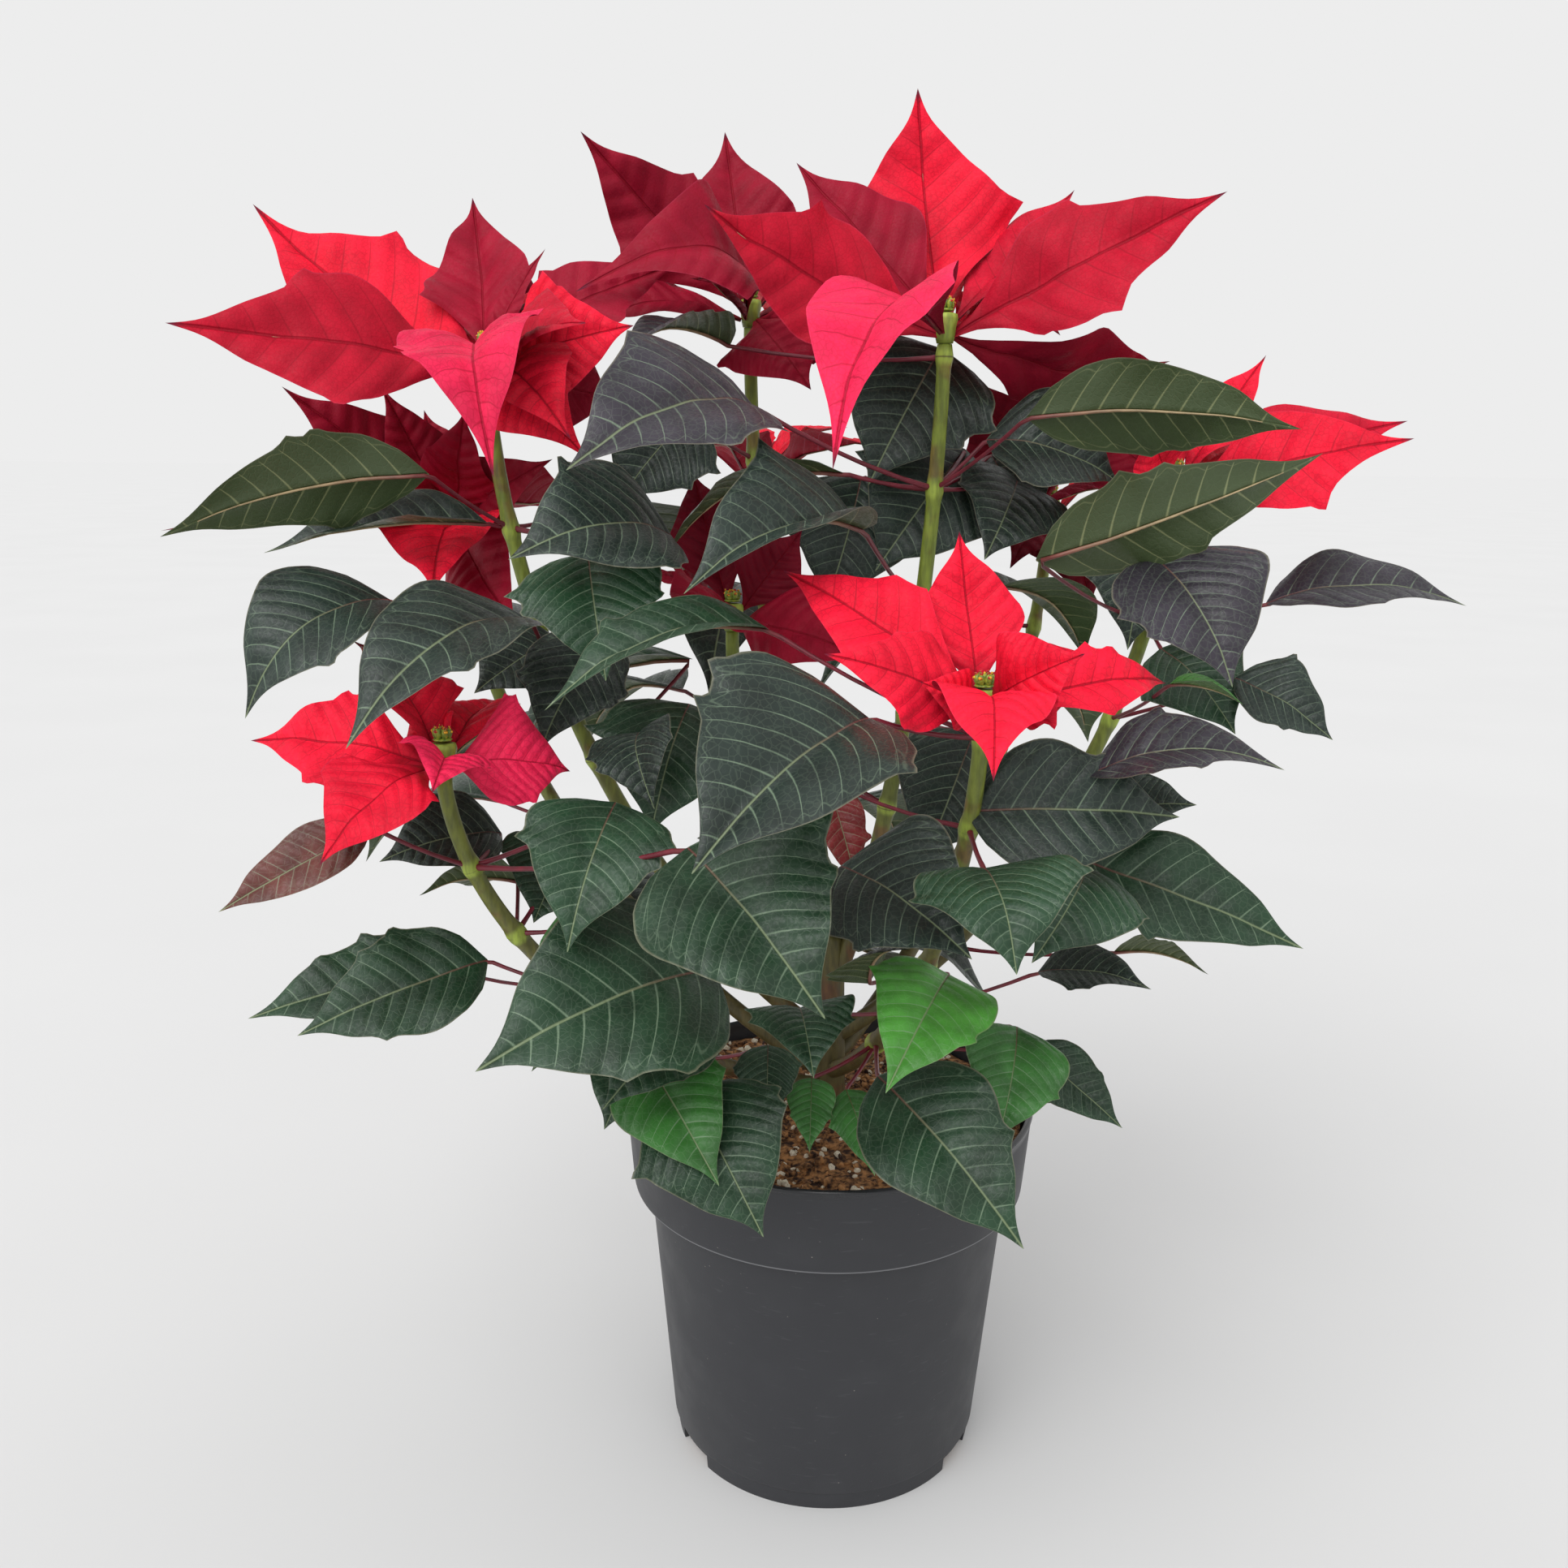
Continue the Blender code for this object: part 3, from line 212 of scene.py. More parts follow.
@dataclass(frozen=True)
class Head:
    """The head on top of a stem: its place in millimetres, the height of its stem's fork, and its bracts."""

    name: str
    centre: Triple
    fork_height: float
    bracts: tuple[Blade, ...]


def bract(
    tip: Triple,
    width: float,
    face: Triple = UP,
    bow: float = 0.10,
    fold: float = 16.0,
    outline: Outline = BRACT,
    tone: Tone = Tone.SCARLET,
) -> Blade:
    """A bract that isn't rooted in its hub yet.

    Args:
        tip: the place of its tip, in millimetres.
        width: its full width, in millimetres.
        face: which way its upper face looks.
        bow: how far its midrib bows, as a share of its length.
        fold: how far each half is raised, in degrees.
        outline: its outline.
        tone: the colour of its upper face, with painted shade in the darker reds.

    Returns:
        The bract, with no foot.
    """
    return Blade("bract", (), tip, width, face, bow, fold, outline, tone)


def ring(centre: Triple, count: int, reach: float, width: float, start: float) -> tuple[Blade, ...]:
    """Bracts all round a head, alternately long and short, the short ones steeper.

    Args:
        centre: the place of the head, in millimetres.
        count: how many bracts.
        reach: the length of the long ones.
        width: the width of the long ones.
        start: the direction of the first, in degrees.

    Returns:
        The bracts.
    """
    bracts = []
    for index in range(count):
        angle = math.radians(start) + index * GOLDEN_ANGLE
        short = index % 2
        length = reach * (0.72 if short else 1.0)
        flat = (length * math.cos(angle), length * math.sin(angle))
        tip = (centre[0] + flat[0], centre[1] + flat[1], centre[2] + length * (0.25 + 0.30 * short))
        bracts.append(bract(tip, width * (0.8 if short else 1.0), UP, 0.14, 16))
    return tuple(bracts)


# Among the bracts below, the darker reds are painted shade.
HEADS = (
    Head("left_top", (-145, -20, 496), 196, (
        bract((-253, -70, 506), 62, (0.2, -1.0, 0.5), 0.03, 10, tone=Tone.CRIMSON),
        bract((-246, 10, 560), 74, (0.5, -1.0, 0.7), -0.10, 14, HEART),
        bract((-158, 26, 566), 54, FRONT, -0.06, 22, tone=Tone.DEEP),
        bract((-84, -32, 510), 56, front(0.35), 0.08, 8),
        bract((-104, -72, 466), 52, FRONT_UP, 0.16, 14),
        bract((-128, -98, 452), 64, front(0.6), 0.30, 26, HEART, Tone.ROSE),
        bract((-136, 4, 545), 16, FRONT, 0.05, tone=Tone.DEEP),
        bract((-128, 2, 541), 14, FRONT_LEFT, 0.05, tone=Tone.DEEP),
        bract((-190, 70, 530), 56, UP, 0.12),
        bract((-105, 70, 520), 52, UP, 0.14),
        bract((-94, -60, 508), 54, FRONT_UP, 0.10, 12, tone=Tone.CRIMSON),
        bract((-105, -60, 464), 44, FRONT, 0.20, 12),
        bract((-96, 20, 562), 44, FRONT, 0.06, 12, tone=Tone.DEEP),
        bract((-92, 0, 488), 50, FRONT, 0.06, 10, tone=Tone.DEEP),
    )),
    Head("back", (-40, 44, 522), 236, (
        bract((-109, 8, 589), 52, FRONT, -0.08, 8, tone=Tone.DEEP),
        bract((-53, 80, 604), 64, FRONT, -0.04, 8, tone=Tone.DEEP),
        bract((2, 72, 584), 42, FRONT_LEFT, 0.04, tone=Tone.DEEP),
        bract((-109, -16, 524), 62, (-0.4, -1.0, 0.4), 0.42, 14, tone=Tone.DEEP),
        bract((-107, 14, 516), 46, (0.0, -0.6, 1.0), 0.10, 10, tone=Tone.DEEP),
        bract((-64, 4, 532), 26, FRONT_UP, 0.10, tone=Tone.DEEP),
        bract((12, 34, 510), 46, FRONT, 0.10, tone=Tone.DEEP),
        bract((-75, 126, 560), 58, BACK_UP, 0.10),
        bract((0, 128, 540), 56, BACK_UP, 0.12),
        bract((-132, 10, 550), 58, front(0.6), 0.06, 10, tone=Tone.DEEP),
        bract((-13, 10, 488), 54, FRONT, 0.10, 10, tone=Tone.DEEP),
    )),
    Head("right_top", (41, -12, 512), 220, (
        bract((29, 14, 608), 78, FRONT, -0.12, 8),
        bract((84, 8, 580), 50, FRONT_LEFT, -0.02, 14, tone=Tone.CRIMSON),
        bract((147, -22, 560), 60, (-0.2, -1.0, 0.3), 0.02, 12, tone=Tone.CRIMSON),
        bract((127, 34, 536), 50, (0.0, -0.8, 1.0), 0.10),
        bract((-55, -52, 552), 62, (0.2, -1.0, 0.25), -0.10, 12, tone=Tone.CRIMSON),
        bract((-14, 36, 572), 56, FRONT, 0.0, 12, tone=Tone.DEEP),
        bract((-7, -112, 456), 66, (-0.5, -1.0, 0.6), 0.26, 22, HEART, Tone.ROSE),
        bract((146, 36, 503), 56, (0.0, -0.8, -0.8), 0.10, 10, tone=Tone.DEEP),
        bract((60, 96, 548), 58, BACK_UP, 0.12),
        bract((104, 78, 528), 52, UP, 0.12),
    )),
    Head("right", (142, 0, 449), 196, (
        bract((183, 20, 505), 34, FRONT_LEFT, 0.0),
        bract((233, -4, 487), 50, front(0.8), 0.06, 10, tone=Tone.CRIMSON),
        bract((225, -40, 470), 54, front(0.6), 0.06, 10),
        bract((100, 10, 479), 48, FRONT, 0.02, 12, tone=Tone.DEEP),
        bract((122, -26, 478), 36, FRONT, -0.04),
        bract((80, 22, 449), 38, UP, 0.12, tone=Tone.DEEP),
        bract((160, 84, 478), 52, BACK_UP, 0.12),
        bract((212, 58, 466), 50, UP, 0.12),
    )),
    Head("front", (47, -126, 376), 180, (
        bract((41, -106, 437), 46, FRONT, -0.05, 12),
        bract((-24, -96, 420), 44, (0.1, -1.0, 0.5), 0.08, 10),
        bract((-10, -150, 397), 42, (0.1, -1.0, 0.6), 0.10, 10),
        bract((90, -92, 408), 34, FRONT, 0.0, 12, SHOULDERED),
        bract((122, -84, 378), 30, front(0.6), 0.16, 14),
        bract((43, -184, 362), 46, front(0.9), 0.26, 10, HEART),
        bract((68, -158, 398), 40, (-0.3, -1.0, 0.5), 0.05, 12, HEART),
        bract((28, -152, 391), 26, (0.3, -1.0, 0.6), 0.05),
    )),
    Head("left_low", (-148, -108, 351), 172, (
        bract((-220, -104, 356), 46, front(0.9), 0.10, 12),
        bract((-182, -150, 322), 52, (-0.2, -1.0, 0.9), 0.14, 12),
        bract((-140, -158, 350), 36, (0.4, -1.0, 0.8), 0.16, 14, HEART, Tone.ROSE),
        bract((-104, -92, 343), 46, (0.2, -1.0, 0.7), 0.20, 12, HEART, Tone.ROSE),
        bract((-164, -76, 366), 28, FRONT, 0.0),
        bract((-150, -40, 366), 40, UP, 0.12),
        bract((-196, -62, 360), 44, UP, 0.12),
    )),
    Head("rear_left", (-174, 46, 430), 178, (
        bract((-239, 10, 487), 44, (0.2, -1.0, 0.5), 0.0, tone=Tone.DEEP),
        bract((-263, -66, 430), 52, (0.0, -0.3, 1.0), 0.06, 10, tone=Tone.DEEP),
        bract((-184, 64, 484), 36, FRONT, 0.0, tone=Tone.DEEP),
        bract((-166, -40, 404), 62, front(0.7), 0.12, 10),
        bract((-132, 4, 458), 40, front(0.5), 0.10, tone=Tone.DEEP),
        bract((-227, 20, 441), 50, (0.0, -0.8, 1.0), 0.10, tone=Tone.DEEP),
        bract((-214, 116, 458), 56, BACK_UP, 0.10),
        bract((-140, 124, 448), 52, BACK_UP, 0.12),
        bract((-204, 30, 488), 36, FRONT, 0.04, 12, tone=Tone.DEEP),
        bract((-158, 10, 482), 40, FRONT, 0.06, 12, tone=Tone.DEEP),
        bract((-138, -26, 412), 50, FRONT, 0.08, 10, tone=Tone.DEEP),
    )),
    Head("centre", (-46, 0, 392), 214, (
        bract((-70, -70, 396), 54, front(0.6), 0.14, 10, tone=Tone.DEEP),
        bract((12, -46, 380), 50, front(0.5), 0.12, 10, tone=Tone.DEEP),
        bract((-60, 30, 458), 44, FRONT, 0.0, tone=Tone.WINE),
        bract((-16, -4, 430), 40, FRONT, 0.0, tone=Tone.WINE),
        bract((-98, 12, 412), 44, UP, 0.10, tone=Tone.DEEP),
    )),
    Head("rear_right", (106, 92, 436), 184, (
        bract((80, 40, 411), 48, front(0.8), 0.12, tone=Tone.WINE),
        bract((122, 38, 402), 52, front(0.7), 0.14, tone=Tone.WINE),
        bract((62, 82, 500), 50, FRONT, 0.0, tone=Tone.WINE),
        bract((92, 70, 492), 46, FRONT, 0.0, tone=Tone.WINE),
        bract((180, 122, 462), 56, UP, 0.12),
        bract((118, 178, 468), 58, BACK_UP, 0.12),
        bract((54, 148, 452), 54, BACK_UP, 0.12),
    )),
    Head("rear", (-40, 146, 446), 206, ring((-40, 146, 446), 6, 74, 50, 60)),
)

LEAVES = (
    Blade(
        "upper_purple", (-36, -50, 479), (-99, -118, 455), 72, (-0.1, -1.0, 0.7), 0.14, 14, tone=Tone.PURPLE
    ),
    Blade("upper_behind", (-48, 14, 506), (-90, -24, 505), 46, UP, 0.16, tone=Tone.PURPLE),
    Blade("mid_pointed", (-67, -64, 430), (-121, -112, 424), 66, front(0.8), 0.16, 12),
    Blade("mid_folded", (6, -76, 434), (-58, -128, 414), 62, (-0.2, -0.8, 0.9), 0.16, 34),
    Blade("mid_hanging", (-98, -74, 424), (-88, -106, 380), 58, front(0.6), 0.12, 12, tone=Tone.GREEN),
    Blade("left_drooping", (-122, -64, 397), (-168, -146, 370), 62, (-0.2, -1.0, 0.8), 0.18, 14),
    Blade("left_cupped", (-182, -44, 402), (-230, -82, 360), 62, (-0.2, -0.9, 0.7), 0.26, 14),
    Blade("mid_narrow", (-29, -108, 400), (-104, -146, 376), 38, (0.0, -0.3, 1.0), 0.14, 20, tone=Tone.GREEN),
    Blade("front_great", (5, -158, 377), (-50, -212, 339), 84, (-0.3, -1.0, 0.7), 0.12, 26),
    Blade("front_round", (45, -158, 326), (51, -198, 303), 60, front(0.8), 0.22, 10, tone=Tone.GREEN),
    Blade("right_round", (90, -112, 314), (64, -152, 290), 54, (0.2, -1.0, 0.7), 0.16, 12, tone=Tone.GREEN),
    Blade("right_long", (94, -84, 308), (178, -100, 278), 48, front(0.9), 0.03, 14, tone=Tone.GREEN),
    Blade("right_edge", (104, -64, 320), (139, -82, 331), 36, FRONT_UP, 0.10, 16),
    Blade(
        "right_purple", (86, -122, 350), (150, -140, 357), 42, (0.0, -0.4, 1.0), 0.16, 12, tone=Tone.PURPLE
    ),
    Blade("right_under_head", (43, -120, 336), (120, -112, 343), 54, front(0.5), 0.10, 12),
    Blade(
        "right_hanging", (118, -66, 424), (141, -104, 380), 68, (0.1, -1.0, 0.6), 0.14, 12, tone=Tone.PURPLE
    ),
    Blade("right_far", (182, -10, 401), (264, -18, 402), 46, (0.0, -0.5, 1.0), 0.12, 12, tone=Tone.PURPLE),
    Blade("right_underside", (72, -74, 423), (173, -100, 453), 46, (0.0, 1.0, 0.5), -0.04, 8),
    Blade("right_top_underside", (70, -48, 476), (162, -92, 472), 44, (0.0, 1.0, 0.5), 0.10, 8),
    Blade("right_dark", (61, -2, 468), (118, 0, 450), 54, front(0.8), 0.14),
    Blade("left_underside", (-163, -50, 452), (-254, -88, 429), 44, (0.0, 0.9, 0.6), 0.10, 8),
    Blade("left_curly", (-146, -24, 432), (-228, -58, 430), 40, (0.0, -0.4, 1.0), 0.06, 30, SHOULDERED),
    Blade(
        "low_shouldered", (-84, -116, 337), (-96, -160, 295), 60, front(0.7), 0.14, 14, SHOULDERED, Tone.GREEN
    ),
    Blade("low_great", (-55, -158, 332), (-9, -204, 290), 76, front(0.8), 0.12, 14, tone=Tone.GREEN),
    Blade("low_left_great", (-48, -118, 274), (-125, -178, 259), 84, front(0.9), 0.12, 12, tone=Tone.GREEN),
    Blade("low_bright", (-76, -104, 290), (-97, -150, 286), 34, UP, 0.12, 16, tone=Tone.BRIGHT),
    Blade("low_left_far", (-142, -74, 260), (-210, -106, 240), 50, front(0.8), 0.06, 12, tone=Tone.GREEN),
    Blade("low_left_behind", (-161, -50, 246), (-239, -80, 236), 44, (0.0, -0.8, 1.0), 0.06, tone=Tone.GREEN),
    Blade("left_olive", (-131, -62, 290), (-167, -80, 289), 34, (0.0, 0.7, 0.8), 0.10, 16, tone=Tone.OLIVE),
    Blade("left_dark", (-137, -62, 310), (-179, -88, 300), 44, front(0.9), 0.12),
    Blade("front_shaded", (-2, -124, 316), (41, -168, 297), 66, front(0.9), 0.12, 12),
    Blade("low_lime", (40, -116, 272), (13, -172, 250), 50, front(0.9), 0.14, 12, tone=Tone.LIME),
    Blade(
        "low_lime_right", (72, -84, 238), (60, -122, 206), 46, (0.1, -1.0, 0.6), 0.12, 12, tone=Tone.BRIGHT
    ),
    Blade("low_right_great", (15, -106, 226), (66, -156, 182), 60, front(0.8), 0.12, 12, tone=Tone.GREEN),
    Blade("low_right_far", (81, -60, 219), (120, -74, 189), 30, front(0.8), 0.04, 16, tone=Tone.GREEN),
    Blade("low_left_tip", (-96, -78, 232), (-119, -110, 228), 34, UP, 0.12, 16, tone=Tone.GREEN),
    Blade("low_left_mid", (-56, -100, 245), (-87, -146, 230), 44, FRONT_UP, 0.12, 12, tone=Tone.GREEN),
    Blade("rim_left_bright", (-76, -104, 232), (-43, -150, 207), 48, front(0.9), 0.12, 12, tone=Tone.BRIGHT),
    Blade("rim_left_great", (-58, -112, 222), (-26, -154, 188), 62, front(0.7), 0.12, 12, tone=Tone.GREEN),
    Blade("rim_small", (-28, -82, 228), (-28, -104, 204), 28, FRONT_UP, 0.12, 16, tone=Tone.GREEN),
    Blade("rim_slim", (-10, -78, 212), (-11, -104, 192), 22, FRONT_UP, 0.12, 16, tone=Tone.BRIGHT),
    Blade("rim_slim_right", (4, -80, 208), (16, -108, 186), 24, FRONT_UP, 0.12, 16, tone=Tone.BRIGHT),
    Blade("front_low_fold", (-16, -116, 258), (-11, -152, 246), 44, FRONT_UP, 0.16, 20, tone=Tone.GREEN),
    Blade("right_low_slim", (82, -70, 256), (124, -88, 256), 32, (0.0, -0.4, 1.0), 0.10, 16),
    Blade(
        "right_low_olive", (119, -44, 256), (155, -60, 252), 32, (0.0, 0.6, 1.0), 0.10, 16, tone=Tone.OLIVE
    ),
    Blade("inner_curled", (-78, -84, 357), (-70, -114, 334), 40, (-0.3, -1.0, 0.6), 0.24, 22),
    Blade("front_low_slim", (10, -116, 268), (39, -154, 272), 38, (0.0, -0.8, 1.0), 0.12),
    Blade("right_behind", (161, -42, 374), (197, -60, 352), 38, front(0.9), 0.08),
    Blade("right_lit", (130, -60, 374), (158, -66, 367), 24, UP, 0.10, 16, tone=Tone.LIME),
    Blade(
        "left_red_green", (-170, -128, 330), (-219, -148, 304), 26, front(0.7), 0.02, 14, tone=Tone.RED_GREEN
    ),
    Blade("withered", (-6, -76, 337), (6, -92, 298), 22, (0.1, -1.0, 0.3), 0.10, 14, tone=Tone.WITHERED),
    Blade("inner_high", (44, 30, 507), (12, 0, 449), 74, front(0.4), 0.10, 10),
    Blade("inner_high_low", (57, 35, 464), (16, 5, 412), 74, front(0.4), 0.10, 10),
    Blade("inner_right", (69, 40, 462), (83, 20, 427), 50, front(0.4), 0.10, 10),
    Blade("inner_left_high", (-64, 10, 477), (-94, -10, 440), 54, front(0.4), 0.10, 10),
    Blade("left_inner", (-118, -20, 383), (-145, -50, 357), 50, front(0.5), 0.10, 10),
    Blade("mid_curly", (-61, -55, 363), (-74, -90, 317), 62, front(0.6), 0.18, 12, tone=Tone.GREEN),
    Blade("left_inner_low", (-112, -50, 303), (-128, -80, 279), 52, front(0.6), 0.10, 12, tone=Tone.GREEN),
    Blade("right_mid_dark", (136, -20, 383), (161, -50, 352), 52, front(0.6), 0.12, 12, tone=Tone.GREEN),
    Blade("rim_left_dark", (-75, -90, 230), (-90, -120, 209), 42, front(0.9), 0.12, 12, tone=Tone.GREEN),
    Blade("front_inner", (53, -60, 354), (33, -80, 306), 56, front(0.4), 0.10, 10),
    Blade("inner_middle", (10, 26, 452), (-18, 2, 402), 62, front(0.4), 0.10, 10, PLAIN),
    Blade("inner_top", (-2, 34, 516), (-34, 8, 462), 56, front(0.4), 0.10, 10, PLAIN),
    Blade("left_inner_mid", (-96, -40, 390), (-116, -72, 346), 46, front(0.5), 0.10, 10, PLAIN),
    Blade("right_inner_high", (130, 4, 432), (122, -20, 382), 50, front(0.4), 0.10, 10, PLAIN),
    Blade("right_inner_mid", (80, 30, 452), (60, 2, 404), 54, front(0.4), 0.10, 10, PLAIN),
)


@dataclass(frozen=True)
class FarSide:
    """The rule that sets leaves round each stem where the plant's front doesn't show them, in millimetres."""

    shares: tuple[float, ...] = (0.34, 0.50, 0.68, 0.86)
    first_angle: float = 1.1
    petiole: float = 38.0
    length: float = 108.0
    lift: float = 6.0
    droop: float = 0.44
    front_limit: float = -36.0
    rear_limit: float = 220.0
    side_limit: float = 250.0
    tones: tuple[Tone, ...] = (Tone.DARK, Tone.GREEN, Tone.GREEN)

    def inside(self, foot: Vector, tip: Vector) -> bool:
        """Whether a leaf stays behind the plant's front and within its reach."""
        behind = min(foot.y, tip.y) > self.front_limit
        return behind and tip.y < self.rear_limit and abs(tip.x) < self.side_limit

    def leaves(self, stems: "dict[str, Stem]") -> list[Blade]:
        """The leaves that the rule gives inside the plant's reach.

        Args:
            stems: the stems by the names of their heads, in the heads' order.

        Returns:
            The leaves, of which the solids hold those that found room.
        """
        leaves = []
        for number, stem in enumerate(stems.values()):
            for step, share in enumerate(self.shares):
                base = stem.line[round(share * (len(stem.line) - 2))] / MM
                angle = self.first_angle * number + step * GOLDEN_ANGLE
                outward = Vector((math.cos(angle), math.sin(angle), 0.0))
                foot = base + outward * self.petiole + Vector((0.0, 0.0, self.lift))
                length = self.length * (1.0 - 0.22 * share)
                tip = foot + outward * length * 0.88 - Vector((0.0, 0.0, length * self.droop))
                if self.inside(foot, tip):
                    name, width = f"far_{number}_{step}", length * 0.64
                    tone = self.tones[(number + step) % len(self.tones)]
                    leaves.append(Blade(name, tuple(foot), tuple(tip), width, UP, 0.16, 14, PLAIN, tone))
        return leaves


@dataclass(frozen=True)
class Hub:
    """The knob on top of a stem that the bracts grow from."""

    height: float = 0.0120
    radius: float = 0.0054
    foot_radius: float = 0.0034
    root_share: float = 0.86
    seat_gap: float = 0.0003

    def radius_at(self, height: float) -> float:
        """The hub's radius at this height above its middle."""
        return self.foot_radius + (self.radius - self.foot_radius) * (0.5 + height / self.height)

    def rooted(self, plain: Blade, head: Head, index: int) -> Blade:
        """Sets a bract's foot inside the hub, lower for the outer bracts.

        Args:
            plain: the bract with no foot.
            head: the head that it belongs to.
            index: its number in the head.

        Returns:
            The bract with its foot and its own name.
        """
        centre = Vector(head.centre)
        outward = Vector(plain.tip) - centre
        flat = Vector((outward.x, outward.y, 0.0)).normalized()
        height = 0.25 * self.height * (1.0 if outward.z > 0.45 * outward.length else -1.0)
        root = self.root_share * self.radius_at(height)
        foot = centre + (flat * root + Vector((0.0, 0.0, height))) / MM
        return replace(plain, name=f"{head.name}_bract_{index}", foot=tuple(foot))


@dataclass
class Stem:
    """The stem under one head, as the line that the solids follow and a finer one on the same curve."""

    head: Head
    hub: Hub = Hub()
    points: int = 9
    neck: float = 0.0050
    base_radius: float = 0.0043
    top_radius: float = 0.0031
    line: list[Vector] = field(init=False)

    def __post_init__(self) -> None:
        """Works out the line that the solids follow."""
        self.line = self.curve(self.points)

    def curve(self, count: int) -> list[Vector]:
        """The stem's middle line, out of the trunk, outwards, then upright under its head.

        Args:
            count: how many points it has.

        Returns:
            The points, from the fork up.
        """
        top = Vector(self.head.centre) * MM - Vector((0.0, 0.0, 0.5 * self.hub.height + self.hub.seat_gap))
        neck = top - Vector((0.0, 0.0, self.neck))
        outward = Vector((top.x, top.y, 0.0))
        fork = Vector((0.0, 0.0, self.head.fork_height * MM))
        rise = Vector((0.0, 0.0, neck.z - fork.z))
        ends = (fork, fork + outward * 0.45 + rise * 0.16, neck - outward * 0.06 - rise * 0.45, neck)
        return [self.bezier(ends, index / (count - 2)) for index in range(count - 1)] + [top]

    @staticmethod
    def bezier(ends: Sequence[Vector], share: float) -> Vector:
        """A point of a cubic curve.

        Args:
            ends: the curve's four points.
            share: how far along it, from 0 to 1.

        Returns:
            The point.
        """
        left = 1.0 - share
        middle = ends[1] * 3 * left**2 * share + ends[2] * 3 * left * share**2
        return ends[0] * left**3 + middle + ends[3] * share**3

    def node_for(self, foot: Vector) -> Vector:
        """Where on the stem the stalk of a leaf with this foot starts."""
        return min(self.line[2:-1], key=lambda p: (p - foot).length + 2.0 * max(0.0, p.z - foot.z))


class SolidFinder:
    """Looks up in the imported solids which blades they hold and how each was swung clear."""

    tip_limit = 0.0015
    mean_limit = 0.0012
    far_off = 1.0

    def __init__(self) -> None:
        """Builds a search tree for each leafy node."""
        self.trees: dict[str, BVHTree] = {}
        for name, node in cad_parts.items():
            if name.startswith(("head_", "leafy_")):
                points = [vertex.co.copy() for vertex in node.data.vertices]
                faces = [tuple(polygon.vertices) for polygon in node.data.polygons]
                self.trees[name] = BVHTree.FromPolygons(points, faces)

    def misfit(self, node: str, blade: Blade) -> float:
        """How far, on average, the blade's own points lie from the node's surface.

        Args:
            node: the name of the node.
            blade: the blade as it may lie.

        Returns:
            The mean distance in metres, or a large number where the tip is already off.
        """
        tree = self.trees[node]
        tip_gap = tree.find_nearest(blade.plain_point(1.0, 0.0))[3]
        if tip_gap > self.tip_limit:
            return self.far_off
        places = [(row[0], across) for row in blade.outline[1:-1] for across in (-1, 0, 1)]
        gaps = [tree.find_nearest(blade.plain_point(*place))[3] for place in places]
        return (sum(gaps) + tip_gap) / (len(gaps) + 1)

    def find(self, blade: Blade, nodes: Sequence[str]) -> tuple[str, Blade] | None:
        """The node that holds a blade, and the blade as it lies there.

        Args:
            blade: the blade as it is listed.
            nodes: the nodes that may hold it.

        Returns:
            The node's name and the swung blade, or None where it found no room.
        """
        tries = ((self.misfit(node, blade.swung(*swing)), node, swing) for swing in SWINGS for node in nodes)
        gap, node, swing = min(tries)
        return (node, blade.swung(*swing)) if gap < self.mean_limit else None


# What the finishes' steps and their two ways of laying one colour over another have in common.
STEP = {"interpolation_type": "SMOOTHSTEP"}
OVER = {"data_type": "RGBA"}
TIMES = {"data_type": "RGBA", "blend_type": "MULTIPLY"}


def feed(tree: bpy.types.NodeTree, socket: bpy.types.NodeSocket, value: object) -> None:
    """Gives an input what it takes.

    Args:
        tree: the node tree.
        socket: the input.
        value: a node whose first output in use is linked, an output, a hex colour, or a plain value.
    """
    if isinstance(value, bpy.types.Node):
        value = next(output for output in value.outputs if output.enabled)
    if isinstance(value, bpy.types.NodeSocket):
        tree.links.new(value, socket)
    else:
        socket.default_value = linear(value) if isinstance(value, str) else value


def add_node(tree: bpy.types.NodeTree, kind: str, *values: object, **settings: object) -> bpy.types.Node:
    """Adds a shader node with its settings and links.

    Args:
        tree: the node tree that gets it.
        kind: the node's type name.
        values: what its inputs in use take, in their order.
        settings: its properties, and its other inputs, by name.

    Returns:
        The node.
    """
    node = tree.nodes.new(kind)
    for key, value in settings.items():
        if hasattr(node, key):
            setattr(node, key, value)
    for socket, value in zip([socket for socket in node.inputs if socket.enabled], values):
        feed(tree, socket, value)
    for key, value in settings.items():
        if not hasattr(node, key):
            feed(tree, node.inputs[key], value)
    return node


class Finish:
    """What every finish shares: a new material whose shader takes what the finish's own pattern gives."""

    name = "finish"

    def pattern(self, tree: bpy.types.NodeTree) -> dict[str, object]:
        """What the shader's inputs take, by their names."""
        raise NotImplementedError

    def material(self) -> bpy.types.Material:
        """Makes a material and feeds its shader.

        Returns:
            The finish as a material.
        """
        made = bpy.data.materials.new(self.name)
        made.use_nodes = True
        shader = made.node_tree.nodes["Principled BSDF"]
        for name, value in self.pattern(made.node_tree).items():
            feed(made.node_tree, shader.inputs[name], value)
        return made


